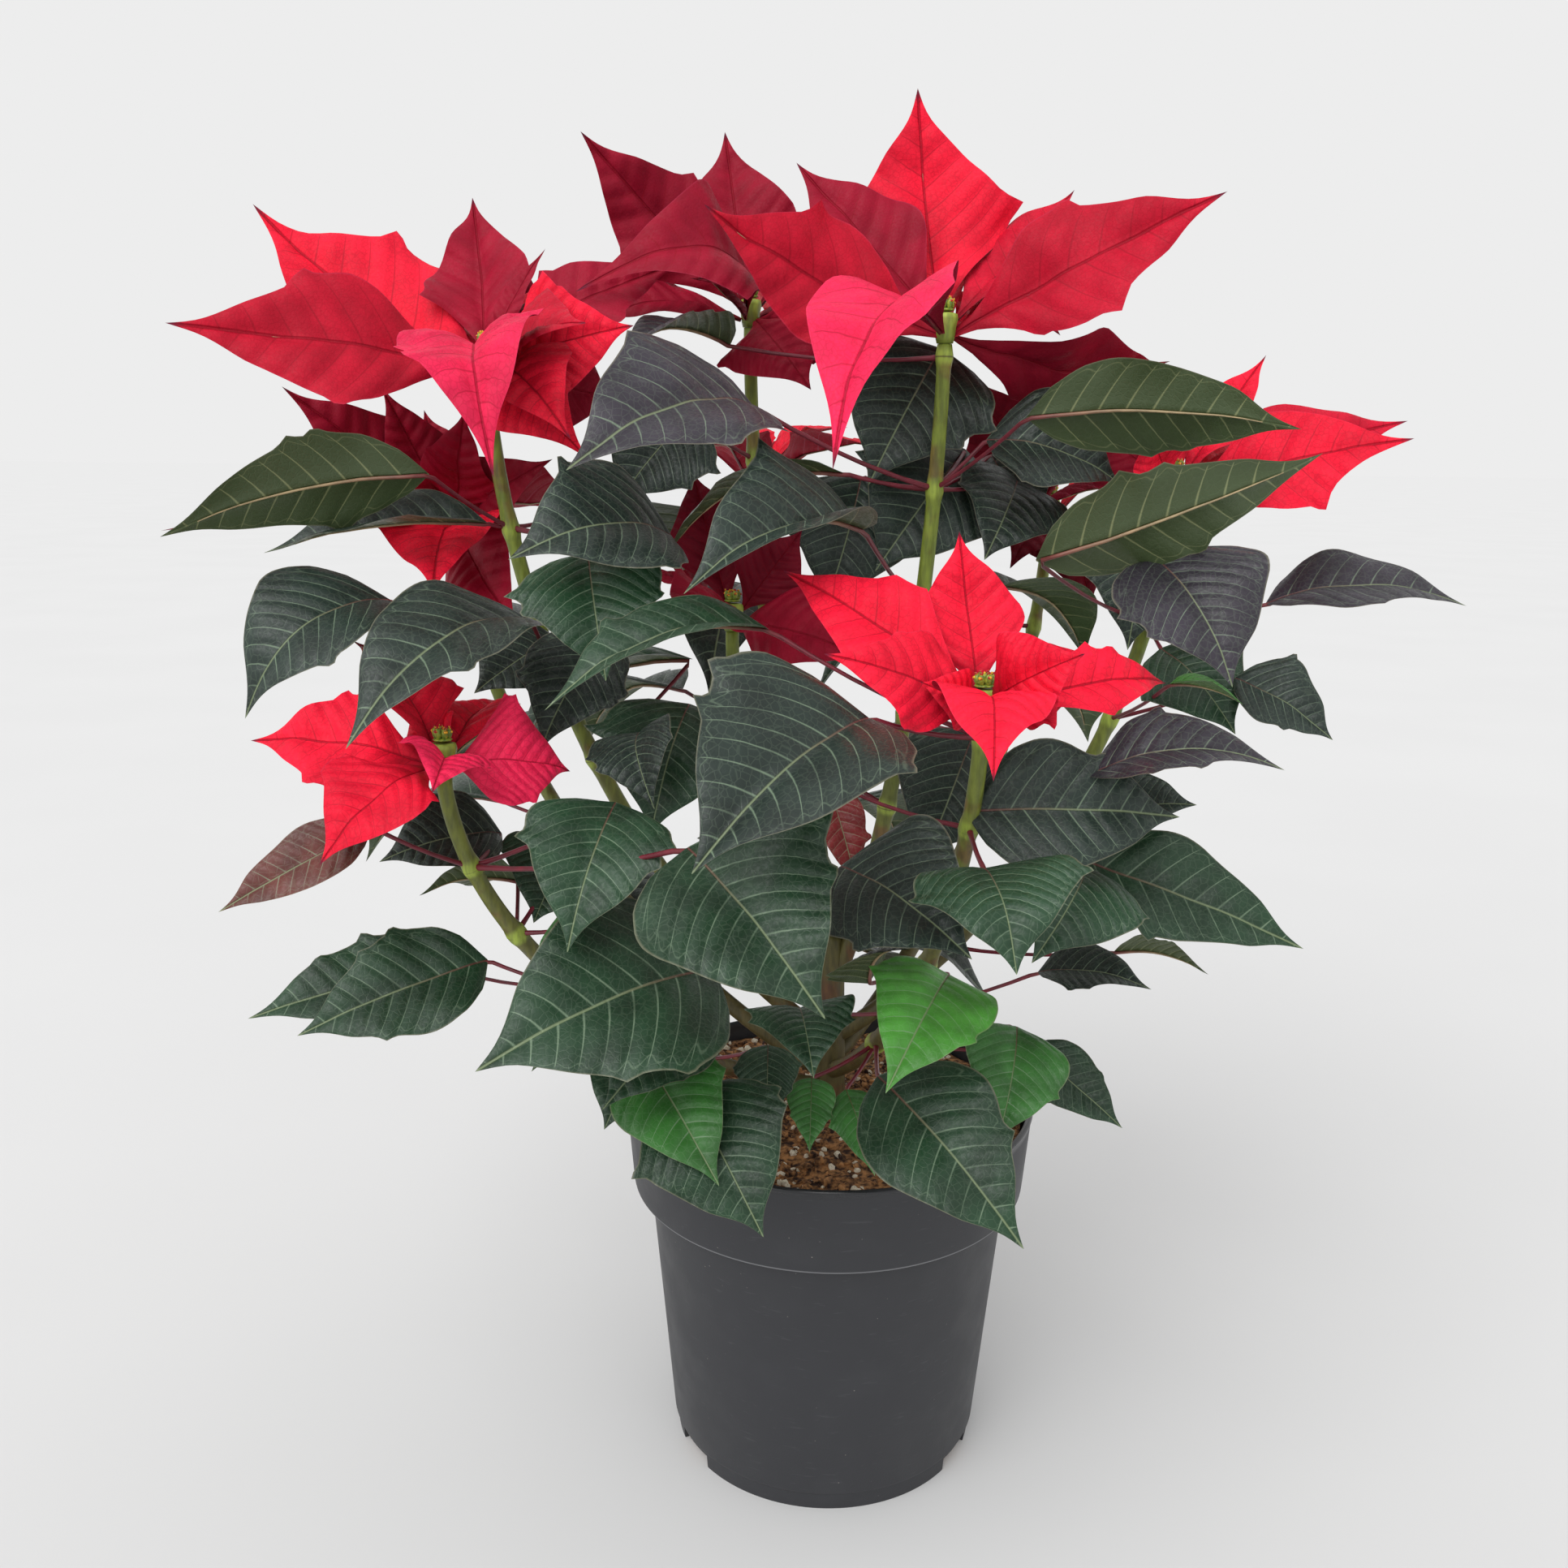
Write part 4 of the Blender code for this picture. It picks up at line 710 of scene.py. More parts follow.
@dataclass(frozen=True)
class Veins:
    """A blade's net of veins, drawn on its own attributes: a midrib, pairs of side veins and their loops."""

    pairs: float = 10.0
    slope: float = 0.50
    curl: float = 0.85
    width: float = 0.07
    stagger: float = 0.45

    def draw(self, tree: bpy.types.NodeTree) -> dict[str, object]:
        """Adds the pattern to a material.

        Args:
            tree: the material's node tree.

        Returns:
            The nodes and outputs by name: vein, rib, margin, pillow, along and metres.
        """
        add = partial(add_node, tree)
        share = add("ShaderNodeAttribute", attribute_name="blade_share").outputs["Vector"]
        across, along, half = add("ShaderNodeSeparateXYZ", share).outputs
        off = add("ShaderNodeMath", across, operation="ABSOLUTE")
        margin = add("ShaderNodeMath", half, 0.002, operation="MAXIMUM")
        ratio = add("ShaderNodeMath", off, margin, operation="DIVIDE")
        lean = add("ShaderNodeMath", off, self.curl, self.slope, operation="MULTIPLY_ADD")
        shift = add("ShaderNodeMath", off, lean, operation="MULTIPLY")
        right = add("ShaderNodeMath", across, 0.0, operation="GREATER_THAN")
        later = add("ShaderNodeMath", right, self.stagger, operation="MULTIPLY")
        beat = add("ShaderNodeMath", along, shift, operation="SUBTRACT")
        beat = add("ShaderNodeMath", beat, self.pairs, operation="MULTIPLY")
        beat = add("ShaderNodeMath", beat, later, operation="ADD")
        apart = add("ShaderNodeMath", beat, 0.5, operation="PINGPONG")
        taper = add("ShaderNodeMapRange", ratio, 0.0, 1.0, 0.9, 2.2, **STEP)
        thin = add("ShaderNodeMath", apart, taper, operation="MULTIPLY")
        fine = add("ShaderNodeMapRange", thin, 0.0, self.width, 1.0, 0.0, **STEP)
        inside = add("ShaderNodeMapRange", ratio, 0.84, 0.96, 1.0, 0.0, **STEP)
        fine = add("ShaderNodeMath", fine, inside, operation="MULTIPLY")
        arch = add("ShaderNodeMapRange", apart, 0.0, 0.45, 0.80, 0.90, **STEP)
        arch = add("ShaderNodeMath", ratio, arch, operation="SUBTRACT")
        arch = add("ShaderNodeMath", arch, operation="ABSOLUTE")
        loop = add("ShaderNodeMapRange", arch, 0.0, 0.022, 0.40, 0.0, **STEP)
        return {
            "vein": add("ShaderNodeMath", fine, loop, operation="MAXIMUM"),
            "rib": add("ShaderNodeMapRange", off, 0.002, 0.008, 1.0, 0.0, **STEP),
            "margin": add("ShaderNodeMapRange", ratio, 0.965, 0.995, **STEP),
            "pillow": add("ShaderNodeMapRange", apart, 0.0, 0.42, **STEP),
            "along": along,
            "metres": add("ShaderNodeAttribute", attribute_name="blade_metres").outputs["Vector"],
        }


@dataclass(frozen=True)
class LeafSkin(Finish):
    """Poinsettia leaf: a satin cuticle over dark green tissue, with paler veins and a thin pale margin."""

    name: str = "poinsettia leaf, satin cuticle"
    vein: str = "#8FA589"
    rib: str = "#8C9A74"
    foot: str = "#742632"
    edge: str = "#8E8A72"
    underside: str = "#4B5A35"
    under_vein: str = "#8C9064"
    patch_mm: float = 16.0
    cell_mm: float = 2.6
    grain_mm: float = 1.1
    roughness: tuple[float, float] = (0.36, 0.56)

    def pattern(self, tree: bpy.types.NodeTree) -> dict[str, object]:
        """Veins that catch the light in patches, on top of a dull olive underside.

        Args:
            tree: the material's node tree.

        Returns:
            What the shader's inputs take, by their names.
        """
        add = partial(add_node, tree)
        veins = Veins().draw(tree)
        place = veins["metres"]
        colour = add("ShaderNodeAttribute", attribute_name="blade_colour").outputs["Color"]
        under = add("ShaderNodeAttribute", attribute_name="blade_under").outputs["Fac"]
        patches = add("ShaderNodeTexNoise", place, Scale=METRE_MM / self.patch_mm, Detail=3.0)
        grain = add("ShaderNodeTexNoise", place, Scale=METRE_MM / self.grain_mm, Detail=2.0)
        cells = add("ShaderNodeTexVoronoi", place, Scale=METRE_MM / self.cell_mm, feature="DISTANCE_TO_EDGE")
        net = add("ShaderNodeMapRange", cells, 0.0, 0.10, 0.22, 0.0, **STEP)
        light = add("ShaderNodeMapRange", patches, 0.30, 0.72, 0.72, 1.30, **STEP)
        upper = add("ShaderNodeMix", 1.0, colour, light, **TIMES)
        faint = add("ShaderNodeMath", net, 0.3, operation="MULTIPLY")
        upper = add("ShaderNodeMix", faint, upper, self.vein, **OVER)
        shine = add("ShaderNodeMapRange", patches, 0.36, 0.62, 0.20, 0.52, **STEP)
        shine = add("ShaderNodeMath", veins["vein"], shine, operation="MULTIPLY")
        upper = add("ShaderNodeMix", shine, upper, self.vein, **OVER)
        near = add("ShaderNodeMapRange", veins["along"], 0.05, 0.55, 0.9, 0.0, **STEP)
        middle = add("ShaderNodeMix", near, self.rib, self.foot, **OVER)
        rib = add("ShaderNodeMath", veins["rib"], 0.6, operation="MULTIPLY")
        upper = add("ShaderNodeMix", rib, upper, middle, **OVER)
        lower = add("ShaderNodeMix", 0.72, upper, self.underside, **OVER)
        vein = add("ShaderNodeMath", veins["vein"], 0.65, operation="MULTIPLY")
        lower = add("ShaderNodeMix", vein, lower, self.under_vein, **OVER)
        both = add("ShaderNodeMix", under, upper, lower, **OVER)
        margin = add("ShaderNodeMath", veins["margin"], 0.40, operation="MULTIPLY")
        cell_relief = add("ShaderNodeMath", net, 0.5, operation="MULTIPLY")
        relief = add("ShaderNodeMath", veins["pillow"], cell_relief, operation="SUBTRACT")
        grain_relief = add("ShaderNodeMath", grain, 0.25, operation="MULTIPLY")
        relief = add("ShaderNodeMath", relief, grain_relief, operation="ADD")
        relief = add("ShaderNodeMath", relief, veins["rib"], operation="SUBTRACT")
        return {
            "Base Color": add("ShaderNodeMix", margin, both, self.edge, **OVER),
            "Roughness": add("ShaderNodeMapRange", grain, 0.3, 0.7, *self.roughness, **STEP),
            "Normal": add("ShaderNodeBump", Strength=0.55, Distance=0.0006, Height=relief),
            "IOR": 1.45,
        }


@dataclass(frozen=True)
class BractSkin(Finish):
    """Poinsettia bract: velvety red with fine darker veins, and a crimson underside with pink veins."""

    name: str = "poinsettia bract, velvety red"
    vein: str = "#86081C"
    root: str = "#7A0B1E"
    tip: str = "#5A2238"
    edge: str = "#C04060"
    underside: str = "#7C0E26"
    under_vein: str = "#B84A60"
    patch_mm: float = 14.0
    cell_mm: float = 2.2
    grain_mm: float = 0.9

    def pattern(self, tree: bpy.types.NodeTree) -> dict[str, object]:
        """Matt and even in the light, darker at its root, along its veins and at its tip.

        Args:
            tree: the material's node tree.

        Returns:
            What the shader's inputs take, by their names.
        """
        add = partial(add_node, tree)
        veins = Veins(pairs=9.0, curl=0.9).draw(tree)
        place = veins["metres"]
        colour = add("ShaderNodeAttribute", attribute_name="blade_colour").outputs["Color"]
        under = add("ShaderNodeAttribute", attribute_name="blade_under").outputs["Fac"]
        patches = add("ShaderNodeTexNoise", place, Scale=METRE_MM / self.patch_mm, Detail=3.0)
        grain = add("ShaderNodeTexNoise", place, Scale=METRE_MM / self.grain_mm, Detail=2.0)
        cells = add("ShaderNodeTexVoronoi", place, Scale=METRE_MM / self.cell_mm, feature="DISTANCE_TO_EDGE")
        net = add("ShaderNodeMapRange", cells, 0.0, 0.12, 0.25, 0.0, **STEP)
        light = add("ShaderNodeMapRange", patches, 0.30, 0.72, 0.84, 1.12, **STEP)
        upper = add("ShaderNodeMix", 1.0, colour, light, **TIMES)
        vein = add("ShaderNodeMath", veins["vein"], 0.55, operation="MULTIPLY")
        lines = add("ShaderNodeMath", net, vein, operation="MAXIMUM")
        upper = add("ShaderNodeMix", lines, upper, self.vein, **OVER)
        rib = add("ShaderNodeMath", veins["rib"], 0.6, operation="MULTIPLY")
        upper = add("ShaderNodeMix", rib, upper, self.vein, **OVER)
        root = add("ShaderNodeMapRange", veins["along"], 0.02, 0.26, 0.7, 0.0, **STEP)
        upper = add("ShaderNodeMix", root, upper, self.root, **OVER)
        lower = add("ShaderNodeMix", 0.75, upper, self.underside, **OVER)
        vein = add("ShaderNodeMath", veins["vein"], 0.6, operation="MULTIPLY")
        lower = add("ShaderNodeMix", vein, lower, self.under_vein, **OVER)
        both = add("ShaderNodeMix", under, upper, lower, **OVER)
        margin = add("ShaderNodeMath", veins["margin"], 0.20, operation="MULTIPLY")
        both = add("ShaderNodeMix", margin, both, self.edge, **OVER)
        tip = add("ShaderNodeMapRange", veins["along"], 0.94, 0.99, 0.0, 0.8, **STEP)
        grain_relief = add("ShaderNodeMath", grain, 0.3, operation="MULTIPLY")
        relief = add("ShaderNodeMath", veins["pillow"], grain_relief, operation="ADD")
        relief = add("ShaderNodeMath", relief, veins["rib"], operation="SUBTRACT")
        return {
            "Base Color": add("ShaderNodeMix", tip, both, self.tip, **OVER),
            "Roughness": add("ShaderNodeMapRange", grain, 0.3, 0.7, 0.50, 0.66, **STEP),
            "Normal": add("ShaderNodeBump", Strength=0.6, Distance=0.0008, Height=relief),
            "Specular IOR Level": 0.22,
            "IOR": 1.40,
        }


@dataclass(frozen=True)
class StemSkin(Finish):
    """Green stem: a waxy yellow-green skin that turns brown and corky towards the soil, with fine streaks."""

    name: str = "poinsettia stem, waxy green to corky brown"
    young: str = "#77862F"
    old: str = "#5C5330"
    blush: str = "#6E3A2A"
    joint: str = "#9DB045"
    scar: str = "#4A3420"
    young_height: float = 0.42
    old_height: float = 0.20
    streak_mm: float = 2.0
    stretch: float = 0.22
    patch_mm: float = 14.0

    def pattern(self, tree: bpy.types.NodeTree) -> dict[str, object]:
        """Greener with height, with brown patches, long streaks, and pale joints with their scars.

        Args:
            tree: the material's node tree.

        Returns:
            What the shader's inputs take, by their names.
        """
        add = partial(add_node, tree)
        place = add("ShaderNodeTexCoord").outputs["Object"]
        height = add("ShaderNodeSeparateXYZ", place).outputs["Z"]
        stretched = add("ShaderNodeMapping", place, Scale=(1.0, 1.0, self.stretch))
        streaks = add("ShaderNodeTexNoise", stretched, Scale=METRE_MM / self.streak_mm, Detail=4.0)
        patches = add("ShaderNodeTexNoise", place, Scale=METRE_MM / self.patch_mm, Detail=3.0)
        age = add("ShaderNodeMapRange", height, self.old_height, self.young_height, **STEP)
        colour = add("ShaderNodeMix", age, self.old, self.young, **OVER)
        brown = add("ShaderNodeMapRange", patches, 0.52, 0.68, 0.0, 0.55, **STEP)
        colour = add("ShaderNodeMix", brown, colour, self.blush, **OVER)
        share = add("ShaderNodeAttribute", attribute_name="blade_share").outputs["Vector"]
        joint = add("ShaderNodeSeparateXYZ", share).outputs["Y"]
        swelling = add("ShaderNodeMapRange", joint, 0.20, 0.80, 0.0, 0.8, **STEP)
        colour = add("ShaderNodeMix", swelling, colour, self.joint, **OVER)
        scar = add("ShaderNodeMapRange", joint, 0.90, 0.98, 0.0, 0.7, **STEP)
        colour = add("ShaderNodeMix", scar, colour, self.scar, **OVER)
        light = add("ShaderNodeMapRange", streaks, 0.3, 0.7, 0.70, 1.25, **STEP)
        return {
            "Base Color": add("ShaderNodeMix", 1.0, colour, light, **TIMES),
            "Roughness": add("ShaderNodeMapRange", streaks, 0.3, 0.7, 0.40, 0.62, **STEP),
            "Normal": add("ShaderNodeBump", Strength=0.5, Distance=0.0004, Height=streaks),
        }


@dataclass(frozen=True)
class StalkSkin(Finish):
    """Leaf stalk and midrib: smooth dark red by the stem, paler and pinker along the leaf."""

    name: str = "poinsettia leaf stalk, red"
    near: str = "#6E1A2A"
    far: str = "#A4906C"
    patch_mm: float = 6.0

    def pattern(self, tree: bpy.types.NodeTree) -> dict[str, object]:
        """A red that fades along the stalk's own length.

        Args:
            tree: the material's node tree.

        Returns:
            What the shader's inputs take, by their names.
        """
        add = partial(add_node, tree)
        share = add("ShaderNodeAttribute", attribute_name="blade_share").outputs["Vector"]
        along = add("ShaderNodeSeparateXYZ", share).outputs["Y"]
        place = add("ShaderNodeTexCoord").outputs["Object"]
        patches = add("ShaderNodeTexNoise", place, Scale=METRE_MM / self.patch_mm, Detail=3.0)
        fade = add("ShaderNodeMapRange", along, 0.30, 0.75, **STEP)
        colour = add("ShaderNodeMix", fade, self.near, self.far, **OVER)
        light = add("ShaderNodeMapRange", patches, 0.3, 0.7, 0.75, 1.2, **STEP)
        return {
            "Base Color": add("ShaderNodeMix", 1.0, colour, light, **TIMES),
            "Roughness": add("ShaderNodeMapRange", patches, 0.3, 0.7, 0.34, 0.50, **STEP),
        }


@dataclass(frozen=True)
class CupSkin(Finish):
    """Flower cup: waxy yellow-green, mottled with a darker green."""

    name: str = "poinsettia flower cup, waxy green"
    colour: str = "#9AA83A"
    foot: str = "#5F7A2C"
    mottle_mm: float = 1.2

    def pattern(self, tree: bpy.types.NodeTree) -> dict[str, object]:
        """Two greens in mottles, with the gloss of wax.

        Args:
            tree: the material's node tree.

        Returns:
            What the shader's inputs take, by their names.
        """
        add = partial(add_node, tree)
        place = add("ShaderNodeTexCoord").outputs["Object"]
        mottle = add("ShaderNodeTexNoise", place, Scale=METRE_MM / self.mottle_mm, Detail=3.0)
        share = add("ShaderNodeMapRange", mottle, 0.35, 0.65, **STEP)
        return {
            "Base Color": add("ShaderNodeMix", share, self.foot, self.colour, **OVER),
            "Roughness": add("ShaderNodeMapRange", mottle, 0.3, 0.7, 0.30, 0.45, **STEP),
        }


@dataclass(frozen=True)
class GlandSkin(Finish):
    """Nectar gland and stamen tips: glossy yellow that turns red."""

    name: str = "poinsettia nectar gland and stamens"
    colour: str = "#E8B62A"
    red: str = "#B01828"
    mottle_mm: float = 1.6

    def pattern(self, tree: bpy.types.NodeTree) -> dict[str, object]:
        """Yellow and red in turn, with a wet gloss.

        Args:
            tree: the material's node tree.

        Returns:
            What the shader's inputs take, by their names.
        """
        add = partial(add_node, tree)
        place = add("ShaderNodeTexCoord").outputs["Object"]
        mottle = add("ShaderNodeTexNoise", place, Scale=METRE_MM / self.mottle_mm, Detail=1.0)
        share = add("ShaderNodeMapRange", mottle, 0.46, 0.54, **STEP)
        return {"Base Color": add("ShaderNodeMix", share, self.colour, self.red, **OVER), "Roughness": 0.22}


@dataclass(frozen=True)
class PotPlastic(Finish):
    """Injection-moulded polypropylene, dark grey: a fine matt grain, faint scuffs and a little peat dust."""

    name: str = "moulded polypropylene, dark grey"
    colour: str = "#2A2B2F"
    # dark: painted shade that darkens the rim from rim_height up.
    dark: str = "#17181A"
    worn: str = "#4A4B4E"
    dust: str = "#8C8780"
    # edge and edge_height: a painted highlight, a pale line round the collar's foot.
    edge: str = "#77787B"
    edge_height: float = 0.1304
    rim_height: float = 0.1640
    grain_mm: float = 0.8
    patch_mm: float = 22.0
    scuff_mm: float = 9.0
    scuff_squash: float = 6.0
    speck_mm: float = 5.0

    def pattern(self, tree: bpy.types.NodeTree) -> dict[str, object]:
        """A sheen that breaks up over grain, scuffs and dust, with a painted highlight as a pale line at the
        collar's foot and painted shade darkening the rim.

        Args:
            tree: the material's node tree.

        Returns:
            What the shader's inputs take, by their names.
        """
        add = partial(add_node, tree)
        place = add("ShaderNodeTexCoord").outputs["Object"]
        height = add("ShaderNodeSeparateXYZ", place).outputs["Z"]
        grain = add("ShaderNodeTexNoise", place, Scale=METRE_MM / self.grain_mm, Detail=2.0)
        wide = add("ShaderNodeTexNoise", place, Scale=METRE_MM / self.patch_mm, Detail=5.0)
        flat = add("ShaderNodeMapping", place, Scale=(1.0, 1.0, self.scuff_squash))
        scuffs = add("ShaderNodeTexNoise", flat, Scale=METRE_MM / self.scuff_mm, Detail=6.0)
        specks = add("ShaderNodeTexVoronoi", place, Scale=METRE_MM / self.speck_mm)
        share = add("ShaderNodeMapRange", wide, 0.45, 0.75, 0.0, 0.12, **STEP)
        colour = add("ShaderNodeMix", share, self.colour, self.worn, **OVER)
        share = add("ShaderNodeMapRange", scuffs, 0.62, 0.74, 0.0, 0.30, **STEP)
        colour = add("ShaderNodeMix", share, colour, self.worn, **OVER)
        speck = add("ShaderNodeMapRange", specks, 0.03, 0.07, 0.8, 0.0, **STEP)
        patch = add("ShaderNodeMapRange", wide, 0.50, 0.62, **STEP)
        dusty = add("ShaderNodeMath", speck, patch, operation="MULTIPLY")
        colour = add("ShaderNodeMix", dusty, colour, self.dust, **OVER)
        # Painted highlight: a pale line round the collar's foot, where its rounded edge catches the light.
        off = add("ShaderNodeMath", height, self.edge_height, operation="SUBTRACT")
        off = add("ShaderNodeMath", off, operation="ABSOLUTE")
        share = add("ShaderNodeMapRange", off, 0.0004, 0.0009, 0.85, 0.0, **STEP)
        colour = add("ShaderNodeMix", share, colour, self.edge, **OVER)
        # Painted shade: darker from rim_height up, over the rolled rim and the wall above the soil.
        share = add("ShaderNodeMapRange", height, self.rim_height, self.rim_height + 0.004, 0.0, 0.5, **STEP)
        gloss = add("ShaderNodeMapRange", height, self.rim_height, self.rim_height + 0.002, 0.0, 0.2, **STEP)
        rough = add("ShaderNodeMapRange", wide, 0.3, 0.7, 0.46, 0.58, **STEP)
        return {
            "Base Color": add("ShaderNodeMix", share, colour, self.dark, **OVER),
            "Roughness": add("ShaderNodeMath", rough, gloss, operation="SUBTRACT"),
            "Normal": add("ShaderNodeBump", Strength=0.25, Distance=0.0002, Height=grain),
        }


@dataclass(frozen=True)
class Peat(Finish):
    """Peat and coir: dry, crumbly and matt, from dark brown to tan."""

    name: str = "peat and coir"
    dark: str = "#33201A"
    light: str = "#BD8856"
    crumb_mm: float = 3.0

    def pattern(self, tree: bpy.types.NodeTree) -> dict[str, object]:
        """Two browns in crumbs, with a rough relief.

        Args:
            tree: the material's node tree.

        Returns:
            What the shader's inputs take, by their names.
        """
        add = partial(add_node, tree)
        place = add("ShaderNodeTexCoord").outputs["Object"]
        crumbs = add("ShaderNodeTexNoise", place, Scale=METRE_MM / self.crumb_mm, Detail=6.0)
        share = add("ShaderNodeMapRange", crumbs, 0.35, 0.68, **STEP)
        return {
            "Base Color": add("ShaderNodeMix", share, self.dark, self.light, **OVER),
            "Roughness": 0.95,
            "Normal": add("ShaderNodeBump", Strength=0.9, Distance=0.0012, Height=crumbs),
        }


@dataclass(frozen=True)
class Perlite(Finish):
    """Perlite: white expanded glass, dull and pitted."""

    name: str = "perlite"
    light: str = "#E6DCC8"
    pit: str = "#A89878"
    pit_mm: float = 0.8

    def pattern(self, tree: bpy.types.NodeTree) -> dict[str, object]:
        """Off-white with darker pits.

        Args:
            tree: the material's node tree.

        Returns:
            What the shader's inputs take, by their names.
        """
        add = partial(add_node, tree)
        place = add("ShaderNodeTexCoord").outputs["Object"]
        pits = add("ShaderNodeTexNoise", place, Scale=METRE_MM / self.pit_mm, Detail=3.0)
        share = add("ShaderNodeMapRange", pits, 0.28, 0.46, **STEP)
        return {"Base Color": add("ShaderNodeMix", share, self.pit, self.light, **OVER), "Roughness": 0.9}


@dataclass(frozen=True)
class PaleFloor(Finish):
    """Matt pale studio floor."""

    name: str = "matt studio floor"
    colour: str = "#D6D6D6"
    mottle: float = 3.0

    def pattern(self, tree: bpy.types.NodeTree) -> dict[str, object]:
        """An even tone with the faintest mottling.

        Args:
            tree: the material's node tree.

        Returns:
            What the shader's inputs take, by their names.
        """
        add = partial(add_node, tree)
        place = add("ShaderNodeTexCoord").outputs["Object"]
        mottle = add("ShaderNodeTexNoise", place, Scale=self.mottle)
        light = add("ShaderNodeMapRange", mottle, 0.3, 0.7, 0.985, 1.0, **STEP)
        colour = add("ShaderNodeMix", 1.0, self.colour, light, **TIMES)
        return {"Base Color": colour, "Roughness": 0.9, "Specular IOR Level": 0.0}


class Piece:
    """A piece of the dressed object while it is being built, with the finishes that it wears."""

    tube_metres = 0.1

    def __init__(self, name: str, finishes: Sequence[bpy.types.Material]) -> None:
        """Starts the piece.

        Args:
            name: its name.
            finishes: its materials, in the order that its faces count them.
        """
        self.name = name
        self.finishes = list(finishes)
        self.bm = bmesh.new()
        self.share = self.bm.verts.layers.float_vector.new("blade_share")
        self.metres = self.bm.verts.layers.float_vector.new("blade_metres")
        self.colour = self.bm.verts.layers.float_color.new("blade_colour")
        self.under = self.bm.faces.layers.float.new("blade_under")

    def turned(self, profile: Sequence[tuple[float, float]], steps: int) -> list[bmesh.types.BMVert]:
        """Turns a profile of (radius, height) points round the Z axis into a closed shell.

        Args:
            profile: the points, starting and ending on the axis or on each other.
            steps: how many steps make the turn.

        Returns:
            The new vertices.
        """
        made = [self.bm.verts.new((radius, 0.0, height)) for radius, height in profile]
        edges = [self.bm.edges.new(pair) for pair in zip(made, made[1:])]
        bmesh.ops.spin(
            self.bm,
            geom=made + edges,
            cent=(0.0, 0.0, 0.0),
            axis=(0.0, 0.0, 1.0),
            angle=math.tau,
            steps=steps,
            use_merge=True,
        )
        bmesh.ops.remove_doubles(self.bm, verts=self.bm.verts, dist=1e-6)
        bmesh.ops.recalc_face_normals(self.bm, faces=self.bm.faces)
        for face in self.bm.faces:
            face.smooth = True
        return list(self.bm.verts)

    def tube(
        self,
        points: Sequence[Vector],
        radii: Sequence[float],
        sides: int,
        finish: int,
        shares: Sequence[float] | None = None,
    ) -> None:
        """Sweeps a circle along points, with closed ends.

        Args:
            points: the middle line.
            radii: the radius at each point.
            sides: how many sides the tube has.
            finish: the number of the material.
            shares: how far along its own length each point lies, for finishes that fade.
        """
        shares = shares or [index / (len(points) - 1) for index in range(len(points))]
        ahead = (points[1] - points[0]).normalized()
        turn = ahead.to_track_quat("Z", "Y")
        place = Matrix.Translation(points[0]) @ turn.to_matrix().to_4x4()
        made = bmesh.ops.create_circle(self.bm, cap_ends=True, segments=sides, radius=radii[0], matrix=place)
        cap = made["verts"][0].link_faces[0]
        rings = [list(made["verts"])]
        for index in range(1, len(points)):
            reached = points[min(index + 1, len(points) - 1)]
            following = (reached - points[index - 1]).normalized()
            bend = ahead.rotation_difference(following)
            cap = bmesh.ops.extrude_discrete_faces(self.bm, faces=[cap])["faces"][0]
            ring_verts = list(cap.verts)
            growth = radii[index] / radii[index - 1]
            for vertex in ring_verts:
                offset = vertex.co - points[index - 1]
                vertex.co = points[index] + bend @ offset * growth
            ahead = following
            rings.append(ring_verts)
        bmesh.ops.contextual_create(self.bm, geom=rings[0])
        faces = set()
        for ring_verts, share in zip(rings, shares):
            for vertex in ring_verts:
                vertex[self.share] = (0.0, share, self.tube_metres)
                vertex[self.metres] = (0.0, share * self.tube_metres, 0.0)
                faces.update(vertex.link_faces)
        bmesh.ops.recalc_face_normals(self.bm, faces=list(faces))
        for face in faces:
            face.material_index = finish
            face.smooth = True

    def lump(self, place: Matrix, size: Vector, turns: int, rows: int, finish: int) -> None:
        """Adds a smooth round body.

        Args:
            place: where its middle is and how it is turned.
            size: its half sizes along its own axes.
            turns: its faces round the middle.
            rows: its faces from pole to pole.
            finish: the number of the material.
        """
        scale = Matrix.Diagonal((*size, 1.0))
        whole = place @ scale
        made = bmesh.ops.create_uvsphere(self.bm, u_segments=turns, v_segments=rows, radius=1.0, matrix=whole)
        for face in {face for vertex in made["verts"] for face in vertex.link_faces}:
            face.material_index = finish
            face.smooth = True

    def finished(self, nodes: Sequence[str]) -> bpy.types.Object:
        """Ends the piece: a mesh object that rides on the body and stands for its solids.

        Args:
            nodes: the solids that it replaces.

        Returns:
            The object.
        """
        mesh = bpy.data.meshes.new(self.name)
        self.bm.to_mesh(mesh)
        self.bm.free()
        for finish in self.finishes:
            mesh.materials.append(finish)
        made = bpy.data.objects.new(self.name, mesh)
        bpy.context.scene.collection.objects.link(made)
        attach(made, BODY)
        if nodes:
            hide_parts(*nodes)
        LOG.info("%s: %d faces", self.name, len(mesh.polygons))
        return made


@dataclass(frozen=True)
class Chance:
    """What differs from blade to blade: the teeth of each margin and how its ripples run."""

    teeth: tuple[tuple[tuple[float, float], ...], ...]
    phase: tuple[float, float]
    ripples: float
    shade: float

    @classmethod
    def of(cls, blade: Blade, most: int) -> "Chance":
        """A blade's own chance, the same every time.

        Args:
            blade: the blade.
            most: the most teeth that a margin has.

        Returns:
            The chance.
        """
        seed = random.Random(blade.name)
        sides = [
            tuple((seed.uniform(0.30, 0.66), seed.uniform(0.05, 0.13)) for _ in range(seed.randint(0, most)))
            for _ in range(2)
        ]
        phase = (seed.uniform(0.0, math.tau), seed.uniform(0.0, math.tau))
        return cls(tuple(sides), phase, seed.uniform(1.6, 2.8), seed.uniform(0.86, 1.14))


